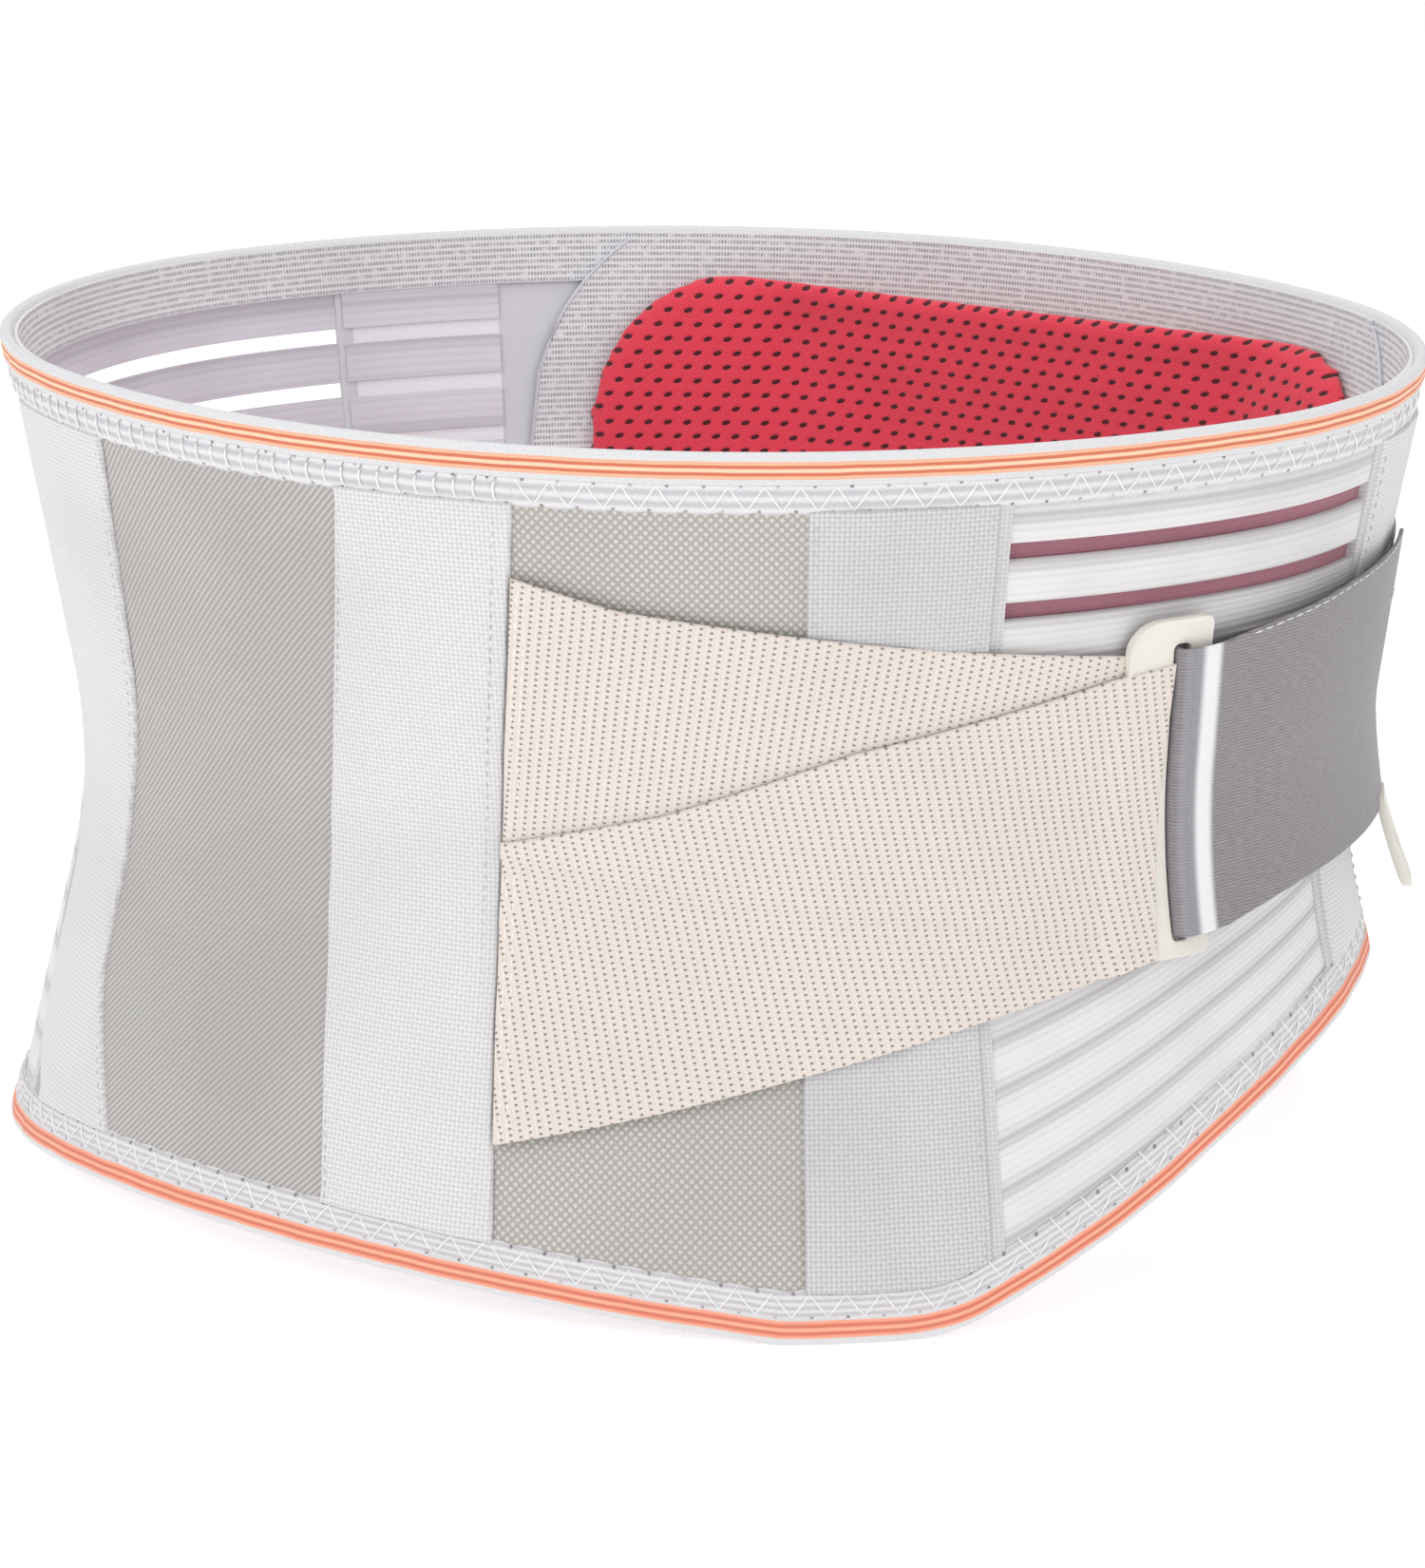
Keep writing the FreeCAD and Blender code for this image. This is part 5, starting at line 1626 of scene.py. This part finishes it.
@dataclass
class StrapSet(Assembly):
    """Crossed elastic straps, slotted plate and folded cinch strap of one side."""

    side: str = "left"
    front: float = -23.4
    plate: float = 144.0
    way: int = 1
    tail: Body = Body.LEFT_TAIL
    anchor: float = 383.0

    @property
    def seam(self) -> Seam | None:
        """The seam that the elastic straps are sewn in."""
        return Seam.FLAP_EDGE if self.way > 0 else None

    def at(self, distance: float) -> float:
        """Arc length at a distance behind the plate's front edge."""
        return self.plate + self.way * distance

    def along(self, s: Array) -> Array:
        """Distance from the strap's sewn end, scaled to be 167.4 at the plate."""
        return (np.asarray(s) - self.front) * 167.4 / (self.plate - self.front)

    def edge(self, reach: Sequence[float], height: Sequence[float]) -> Curve:
        """Edge of a strap through given distances and heights."""
        return lambda s: np.interp(self.along(s), reach, height)

    def build(self) -> None:
        """Makes the straps, plate, cinch strap and tail."""
        under_low = self.edge([0, 175], [119.0, 96.0])
        under_high = self.edge([0, 5.4, 32.4, 80, 118, 167], [196.2, 195.6, 188.5, 182.0, 177.0, 171.5])
        over_low = self.edge([0, 81.4, 129.4, 178.4], [46.5, 67.0, 78.0, 88.3])
        over_high = self.edge([0, 43.4, 93.4, 168.4, 180], [124.0, 134.0, 151.0, 167.0, 168.5])

        def climb(s: Array, z: Array) -> Array:
            """Rise of the upper strap over the lower one and over the plate."""
            on = np.clip((np.minimum(under_high(s) - z, z - under_low(s)) + 1.5) / 3.0, 0, 1)
            on = on * on * (3 - 2 * on) * 1.45
            plate = np.clip((self.along(s) - 163.0) / 5.0, 0, 1)
            plate = plate * plate * (3 - 2 * plate)
            return on * (1 - plate) + plate * 2.55

        last = self.at(1.0)
        lean = -0.144 * self.way
        self.band("under", last, under_low, under_high, 2.1, 3.2, lean, ripple(90.0, 0.2, 0.0))
        self.band("over", self.at(13.0), over_low, over_high, 2.3, 3.5, 0.245 * self.way,
                  both(climb, ripple(90.0, 0.2, 2.0)))
        threads = Stitches(self.side + "_strap_stitches", "white_thread", 0.25)
        for offset in (2.0, 4.2):
            s = self.front + self.way * offset
            threads.upright(s, 48.0, 118.0, 3.6, 2.4, 1.2, self.seam)
            threads.upright(s, 124.5, 194.0, 3.3, 2.4, 1.2, self.seam)
        self.join(threads.build(self.finishes), Body.BELT, "dotted_elastic")
        self.plate_piece()
        self.cinch()

    def band(self, layer: str, last: float, low: Curve, high: Curve, inner: float, outer: float, lean: float,
             relief: Relief) -> None:
        """One elastic strap from its sewn end to the plate."""
        start, end = sorted((self.front, last))
        cloth = Cloth("%s_%s_webbing" % (self.side, layer), start, end, low, high, inner, outer,
                      "dotted_elastic", step=2.5, rows=2.0, relief=relief, edge=0.7, slope=lean,
                      start_seam=self.seam)
        self.cloth(cloth, Body.BELT, "dotted_elastic", ["%s_%s_strap" % (self.side, layer)],
                   lies_on="front_weave" if self.way > 0 else "right_band_3")

    @staticmethod
    def slant(z: Array) -> Array:
        """How far the stiff plate's straight line strays from the wall's upright line."""
        return np.interp(z, (93.0, 134.0, 175.0), (5.0, 1.6, -1.6))

    def plate_piece(self) -> None:
        """Slotted plate that joins the elastic straps to the cinch strap."""
        shape = FlatShape(self.side + "_slotted_plate", (25.0, 92.5, 3.2))
        shape.round_corners(True, 9.0)
        shape.round_corners(False, 2.5, 3)
        shape.sink_face(1.5, 0.55)
        shape.pierce((3.5, -1.4), (5.0, 81.5), 1.6)
        shape.soften(0.45)
        piece = shape.wrap(self.at(12.5), 134.3, 4.1, self.way, 4.0, self.finishes["ivory_plastic"],
                           self.slant)
        self.join(piece, Body.BELT, "ivory_plastic", [self.side + "_plate"])

    def cinch(self) -> None:
        """Cinch strap: run along the belt, fold round the plate's rear bar, and outer tail."""
        runs = abs(self.anchor - self.plate)
        rise = [0, 40, runs * 0.62, runs + 20]

        def lift(run: Array) -> Array:
            """Rise of the strap towards its sewn end."""
            return np.interp(run, rise, [0, 2.0, 11.0, 11.0])

        turn = np.linspace(-math.pi / 2, -3 * math.pi / 2, 13)
        bend = np.stack([17.3 + 2.7 * np.cos(turn), 4.9 + 2.45 * np.sin(turn)], axis=1)
        back = np.stack([np.linspace(runs, 18.0, 60), np.full(60, 2.45)], axis=1)
        path = np.concatenate([back, bend, [[18.6, 7.4]]])
        total = float(np.sum(np.linalg.norm(np.diff(path, axis=0), axis=1)))
        places = np.stack([self.plate + self.way * path[:, 0], path[:, 1]], axis=1)
        strap = Ribbon(self.side + "_cinch_webbing", places, lambda run: 93.5 + lift(total - run),
                       lambda run: 172.5 + lift(total - run), 1.2, "satin_strap", start_u=-total + 15.0,
                       drift=lambda run, z: (self.way * self.slant(z), 0.0 * z))
        piece = self.join(strap.build(self.finishes), Body.BELT, "satin_strap", [self.side + "_cinch_strap"])
        length = 118.0
        x = np.concatenate([np.linspace(0, 14, 15), np.linspace(16, length - 14, 34),
                            np.linspace(length - 12, length, 13)])
        crest = 7.35 - 0.75 * np.clip((x - 9.0) / 9.0, 0, 1) ** 1.2 + 0.25 * np.exp(-((x - 6.0) / 3.0) ** 2)
        wave = 0.25 * np.sin(x / 17.0)
        places = np.stack([self.plate + self.way * (18.3 + x), crest + wave + 0.1], axis=1)
        corner = 12.0

        def inset(run: Array) -> Array:
            """How far the tail's edges draw in round its free corners."""
            reach = np.clip(corner - (length - run), 0, corner)
            return corner - np.sqrt(corner ** 2 - reach ** 2)

        def top(run: Array) -> Array:
            """Upper edge of the tail."""
            return np.interp(run, [0, 8, 30, 60, 120], [172.5, 173.2, 176.5, 180.5, 184.5]) - inset(run)

        def low(run: Array) -> Array:
            """Lower edge of the tail."""
            return np.interp(run, [0, 12, 40, 72, 120], [93.5, 94.5, 100.3, 102.6, 104.8]) + inset(run)

        def lie(run: Array, z: Array) -> tuple[Array, Array]:
            """Slant of the tail along the wall, and how it stands off low down towards its end."""
            share = np.clip(run / length, 0, 1)
            tilt = np.where(z < 134.0, (134.0 - z) * 0.15, (134.0 - z) * 0.055)
            return self.way * self.slant(z), share * share * tilt

        tail = Ribbon(self.side + "_tail_webbing", places, low, top, 1.2, "satin_strap", start_u=15.5,
                      drift=lie)
        bends = (Body.BELT, self.tail, self.at(18.4), self.at(30.0))
        piece = self.join(tail.build(self.finishes), self.tail, "satin_strap", [self.side + "_tail_strap"],
                          bends)
        edge = Stitches(self.side + "_tail_stitches", "white_thread", 0.22)
        for index in range(24):
            run = np.array([19.0, 20.3, 21.6]) + index * 3.6
            along, out = lie(run, top(run))
            edge.add(self.plate + self.way * (18.3 + run) + along, top(run) - 0.9,
                     np.interp(run, x, crest + wave) + out + 0.68)
        self.join(edge.build(self.finishes), self.tail, "satin_strap")
        first, last = sorted((self.at(18.1 + length - 52.0), self.at(18.1 + length - 8.0)))
        hooks = Cloth(self.side + "_tail_hooks", first, last, level(112.0), level(166.0), 3.9, 6.0,
                      "hook_tape")
        self.join(hooks.build(self.finishes), self.tail, "hook_tape", [self.side + "_tail_hook"])
        tab = FlatShape(self.side + "_tab", (24.0, 26.0, 2.6))
        tab.round_corners(False, 11.0)
        tab.round_corners(True, 3.0, 4)
        tab.sink_face(2.6, 0.7)
        tab.pierce((2.0, 0.0), (10.0, 10.0), 4.0)
        tab.soften(0.5)
        piece = tab.wrap(self.at(18.1 + length - 6.0 + 9.0), 95.0, 13.2, self.way, 4.0,
                         self.finishes["ivory_plastic"], lean=-0.2)
        self.join(piece, self.tail, "ivory_plastic", [self.side + "_pull_tab"])


@dataclass
class LumbarPad(Assembly):
    """Mesh panel inside the back and the padded support that fastens to it."""

    half: float = 150.0
    low: float = 52.0
    high: float = 219.0
    inner: float = -13.0
    outer: float = -4.2

    def build(self) -> None:
        """Makes the panel, its piping, the pad, its seams and its fastening."""
        centre = Seam.BACK_CENTRE.value
        wide = 167.0
        panel = Cloth("mesh_panel", centre - wide, centre + wide, hem_line(7.0),
                      self.crown(wide, 228.5, 70.0), -4.1, -3.5, "white_knit", step=3.0, rows=3.0,
                      inside="white_knit")
        self.cloth(panel, Body.BELT, "white_knit", ["lumbar_mesh_panel"], lies_on="back_backing")
        across = spaced(centre - wide, centre + wide, 3.0)
        s = np.concatenate([[across[0]] * 20, across, [across[-1]] * 20])
        top = self.crown(wide, 228.5, 70.0)
        z = top(s)
        z[:20] = np.linspace(float(FORM.hem(centre - wide)) + 8.0, z[20], 20)
        z[-20:] = np.linspace(z[-21], float(FORM.hem(centre + wide)) + 8.0, 20)
        keep = z < 228.0
        first, last = np.argmax(~keep), len(keep) - np.argmax(~keep[::-1])
        piping = Stitches("panel_piping", "grey_thread", 0.55)
        for part in (slice(0, first), slice(last, len(s))):
            piping.add(s[part], z[part], np.full(len(s[part]), -4.0))
        self.join(piping.build(self.finishes), Body.BELT, "seam_tape")
        pad = self.pad(centre)
        self.join(pad, Body.PAD, "red_mesh", ["lumbar_pad_cover", "lumbar_pad_core"])
        self.join(self.seams(centre), Body.PAD, "red_mesh")
        for index, (first, last) in enumerate(((-110, -80), (80, 110))):
            patch = Cloth("pad_hooks_%d" % index, centre + first, centre + last, level(84.0), level(176.0),
                          -4.1, -3.3, "hook_tape")
            nodes = ["pad_hook_patches"] if index == 0 else ()
            self.join(patch.build(self.finishes), Body.PAD, "hook_tape", nodes)

    @staticmethod
    def crown(half: float, height: float, radius: float) -> Curve:
        """Top edge that is rounded down at both ends."""
        def edge(s: Array) -> Array:
            """Height of the rounded edge, before it is cut off level."""
            reach = np.clip(radius - (half - np.abs(np.asarray(s) - Seam.BACK_CENTRE.value)), 0, radius)
            return height + 9.0 - (radius - np.sqrt(np.maximum(radius ** 2 - reach ** 2, 0)))
        return lambda s: np.minimum(edge(s), height)

    def outline(self, count: int) -> Array:
        """Closed outline of the pad round its middle, with corners of two radii."""
        wide, tall = self.half, (self.high - self.low) / 2
        points = []
        corners = ((1, 1, 50.0, 0), (-1, 1, 50.0, 90), (-1, -1, 31.0, 180), (1, -1, 31.0, 270))
        for x, y, radius, start in corners:
            turn = np.radians(start + np.linspace(0, 90, count))
            points.append(np.stack([x * (wide - radius) + radius * np.cos(turn),
                                    y * (tall - radius) + radius * np.sin(turn)], axis=1))
        return np.concatenate(points)

    def depth(self, x: Array, y: Array) -> Array:
        """Share of the pad's full thickness at a place: crowned, with channels along its two seams."""
        tall = (self.high - self.low) / 2
        radius = np.where(y > 0, 50.0, 31.0)
        dx, dy = np.abs(x) - (self.half - radius), np.abs(y) - (tall - radius)
        inside = np.where((dx > 0) & (dy > 0), radius - np.hypot(dx, dy), radius - np.maximum(dx, dy))
        crown = round_off(np.maximum(inside, 0), 8.0)
        channel = np.minimum(np.abs(np.abs(x) - 83.0) / 7.0, 1.0)
        return crown * (0.72 + 0.28 * np.sqrt(1 - (1 - channel) ** 2))

    def pad(self, centre: float) -> bpy.types.Object:
        """The pad: a crowned closed form, plumped by cloth simulation."""
        tall = (self.high - self.low) / 2
        outline = self.outline(14)
        shares = np.concatenate([np.linspace(0, 0.9, 24), [0.94, 0.965, 0.985, 0.996, 1.0]])
        flat = outline[None, :, :] * shares[:, None, None]
        x, y = flat[..., 0], flat[..., 1]
        rise = self.depth(x, y)
        thick = self.outer - self.inner
        front = self.outer - 0.5 - (thick - 1.0) * rise
        back = self.outer - 0.5 + 0.5 * rise
        middle = (self.high + self.low) / 2
        rows, columns = x.shape
        points = np.concatenate([FORM.place(centre + x, middle + y, front).reshape(-1, 3),
                                 FORM.place(centre + x, middle + y, back).reshape(-1, 3)])
        faces = []
        for layer, flip in ((0, False), (rows * columns, True)):
            for row in range(rows - 1):
                for column in range(columns):
                    a, b = layer + row * columns + column, layer + row * columns + (column + 1) % columns
                    quad = [a, b, b + columns, a + columns]
                    faces.append(quad[::-1] if flip else quad)
        edge = (rows - 1) * columns
        for column in range(columns):
            a, b = edge + column, edge + (column + 1) % columns
            faces.append([a, b, b + rows * columns, a + rows * columns])
        piece = make_object("lumbar_pad_cover_cloth", points, faces, None, self.finishes["red_mesh"])
        bpy.ops.object.select_all(action="DESELECT")
        bpy.context.view_layer.objects.active = piece
        piece.select_set(True)
        bpy.ops.object.mode_set(mode="EDIT")
        bpy.ops.mesh.select_all(action="SELECT")
        bpy.ops.mesh.remove_doubles(threshold=2e-5)
        bpy.ops.mesh.normals_make_consistent(inside=False)
        bpy.ops.object.mode_set(mode="OBJECT")
        remesh = piece.modifiers.new("even mesh", "REMESH")
        remesh.mode = "VOXEL"
        remesh.voxel_size = 0.003
        bpy.ops.object.modifier_apply(modifier=remesh.name)
        self.plump(piece, centre)
        smooth = piece.modifiers.new("smooth", "CORRECTIVE_SMOOTH")
        smooth.iterations = 6
        smooth.use_only_smooth = True
        bpy.ops.object.modifier_apply(modifier=smooth.name)
        finer = piece.modifiers.new("finer", "SUBSURF")
        finer.levels = finer.render_levels = 1
        bpy.ops.object.modifier_apply(modifier=finer.name)
        self.lay_uv(piece, centre)
        return piece

    def plump(self, piece: bpy.types.Object, centre: float) -> None:
        """Runs the cloth simulation, with the back and the seams held."""
        rest = np.array([vertex.co[:] for vertex in piece.data.vertices])
        points = rest / MM
        s = FORM.unwrap(points, centre)
        reach = np.linalg.norm(points - FORM.place(s, points[:, 2], 0.0), axis=1)
        held = (reach < -self.outer + 1.2) | (np.abs(np.abs(s - centre) - 83.0) < 2.6)
        group = piece.vertex_groups.new(name="held")
        group.add(np.nonzero(held)[0].tolist(), 1.0, "REPLACE")
        cloth = piece.modifiers.new("plump", "CLOTH")
        settings = cloth.settings
        settings.quality = 6
        settings.mass = 0.2
        settings.tension_stiffness = settings.compression_stiffness = 20.0
        settings.shear_stiffness = 8.0
        settings.bending_stiffness = 0.6
        settings.vertex_group_mass = group.name
        settings.use_pressure = True
        settings.uniform_pressure_force = 4.0
        settings.effector_weights.gravity = 0.0
        cloth.collision_settings.use_collision = False
        cloth.collision_settings.use_self_collision = False
        cloth.point_cache.frame_start, cloth.point_cache.frame_end = 1, 20
        scene = bpy.context.scene
        for frame in range(1, 21):
            scene.frame_set(frame)
        shaped = piece.evaluated_get(bpy.context.evaluated_depsgraph_get()).to_mesh()
        moved = np.array([vertex.co[:] for vertex in shaped.vertices]) - rest
        length = np.linalg.norm(moved, axis=1, keepdims=True)
        cap = 2.2 * MM
        moved *= np.minimum(1.0, cap / np.maximum(length, 1e-9))
        piece.modifiers.remove(cloth)
        scene.frame_set(1)
        piece.data.vertices.foreach_set("co", (rest + moved).ravel())
        piece.data.update()
        LOG.info("pad plumped: largest move %.2f mm", float(np.abs(moved).max()) / MM)

    @staticmethod
    def lay_uv(piece: bpy.types.Object, centre: float) -> None:
        """Lays the mesh cloth's coordinates on the pad: arc length and height."""
        mesh = piece.data
        points = np.array([vertex.co[:] for vertex in mesh.vertices]) / MM
        uv = np.stack([FORM.unwrap(points, centre), points[:, 2]], axis=1) * MM
        layer = mesh.uv_layers.get(UV_NAME) or mesh.uv_layers.new(name=UV_NAME)
        corner = np.zeros(len(mesh.loops), int)
        mesh.loops.foreach_get("vertex_index", corner)
        layer.data.foreach_set("uv", uv[corner].astype(np.float32).ravel())
        mesh.polygons.foreach_set("use_smooth", [True] * len(mesh.polygons))

    def seams(self, centre: float) -> bpy.types.Object:
        """Stitches along the pad's two seams."""
        threads = Stitches("pad_stitches", "red_thread", 0.28)
        for offset in (-83.0, 83.0):
            face = self.outer - 0.5 - (self.outer - self.inner - 1.0) * 0.72
            for index in range(30):
                z = self.low + 16.0 + index * 4.4
                if z < self.high - 14.0:
                    threads.add([centre + offset] * 3, [z, z + 1.4, z + 2.8],
                                [face + 0.1, face - 0.35, face + 0.1])
        return threads.build(self.finishes)


@dataclass(frozen=True)
class Studio:
    """Pale floor, soft lights and the camera, in metres."""

    azimuth: float = 0.21
    elevation: float = 0.297
    distance: float = 1.324
    aim: tuple[float, float, float] = (0.0022, -0.0003, 0.1)
    lens: float = 108.785

    def build(self) -> None:
        """Makes the floor, world, lights and camera."""
        bpy.ops.object.select_all(action="DESELECT")
        bpy.ops.mesh.primitive_plane_add(size=14.0)
        floor = bpy.context.active_object
        floor.name = "floor"
        graph = Graph("floor_paper")
        floor.data.materials.append(graph.close((250, 250, 250), 0.9, None, 0.0, Specular_IOR_Level=0.1,
                                                Emission_Color=(1.0, 1.0, 1.0, 1.0), Emission_Strength=0.3))
        world = bpy.data.worlds.new("studio")
        world.use_nodes = True
        background = world.node_tree.nodes["Background"]
        background.inputs[0].default_value = (1.0, 1.0, 1.0, 1.0)
        background.inputs[1].default_value = 0.67
        bpy.context.scene.world = world
        self.light("key", (-0.9, -1.5, 1.5), 1.2, 12.3)
        self.light("fill", (1.5, -1.1, 0.9), 1.2, 4.9)
        self.light("top", (0.0, 0.1, 1.9), 1.6, 9.8)
        right = Vector((math.cos(self.azimuth), math.sin(self.azimuth), 0))
        away = Vector((math.sin(self.azimuth) * math.cos(self.elevation),
                       -math.cos(self.azimuth) * math.cos(self.elevation), math.sin(self.elevation)))
        up = away.cross(right)
        data = bpy.data.cameras.new("camera")
        data.sensor_fit = "VERTICAL"
        data.sensor_height = 36.0
        data.lens = self.lens
        data.clip_start = 0.05
        camera = bpy.data.objects.new("camera", data)
        turn = Matrix((right, up, away)).transposed().to_4x4()
        camera.matrix_world = Matrix.Translation(Vector(self.aim) + away * self.distance) @ turn
        bpy.context.scene.collection.objects.link(camera)
        bpy.context.scene.camera = camera
        bpy.context.scene.view_settings.view_transform = "Standard"

    @staticmethod
    def light(name: str, place: tuple[float, float, float], size: float, power: float) -> None:
        """Adds a square softbox aimed at the belt."""
        data = bpy.data.lights.new(name, "AREA")
        data.size = size
        data.energy = power
        lamp = bpy.data.objects.new(name, data)
        lamp.location = place
        lamp.rotation_euler = (Vector((0, 0, 0.1)) - Vector(place)).to_track_quat("-Z", "Y").to_euler()
        bpy.context.scene.collection.objects.link(lamp)


def main() -> None:
    """Builds the whole scene."""
    logging.basicConfig(level=logging.INFO, format="%(name)s: %(message)s")
    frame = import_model()
    finishes = Finishes()
    for name, node in frame["nodes"].items():
        if "stays" in name:
            node.data.materials.clear()
            node.data.materials.append(finishes["stay_steel"])
    Flap(finishes).build()
    FrontWing(finishes).build()
    ElasticSide(finishes).build()
    ElasticSide(finishes, "right", Seam.FAR_ELASTIC.value, RIGHT_END, (168.0, 183.8, 199.6),
                HINGE_BEND).build()
    BackSection(finishes).build()
    Edging(finishes).build()
    StrapSet(finishes).build()
    StrapSet(finishes, "right", FORM.loop - 286.0, FORM.loop - 408.0, -1, Body.RIGHT_TAIL, 535.0).build()
    LumbarPad(finishes).build()
    Studio().build()


if __name__ == "__main__":
    main()
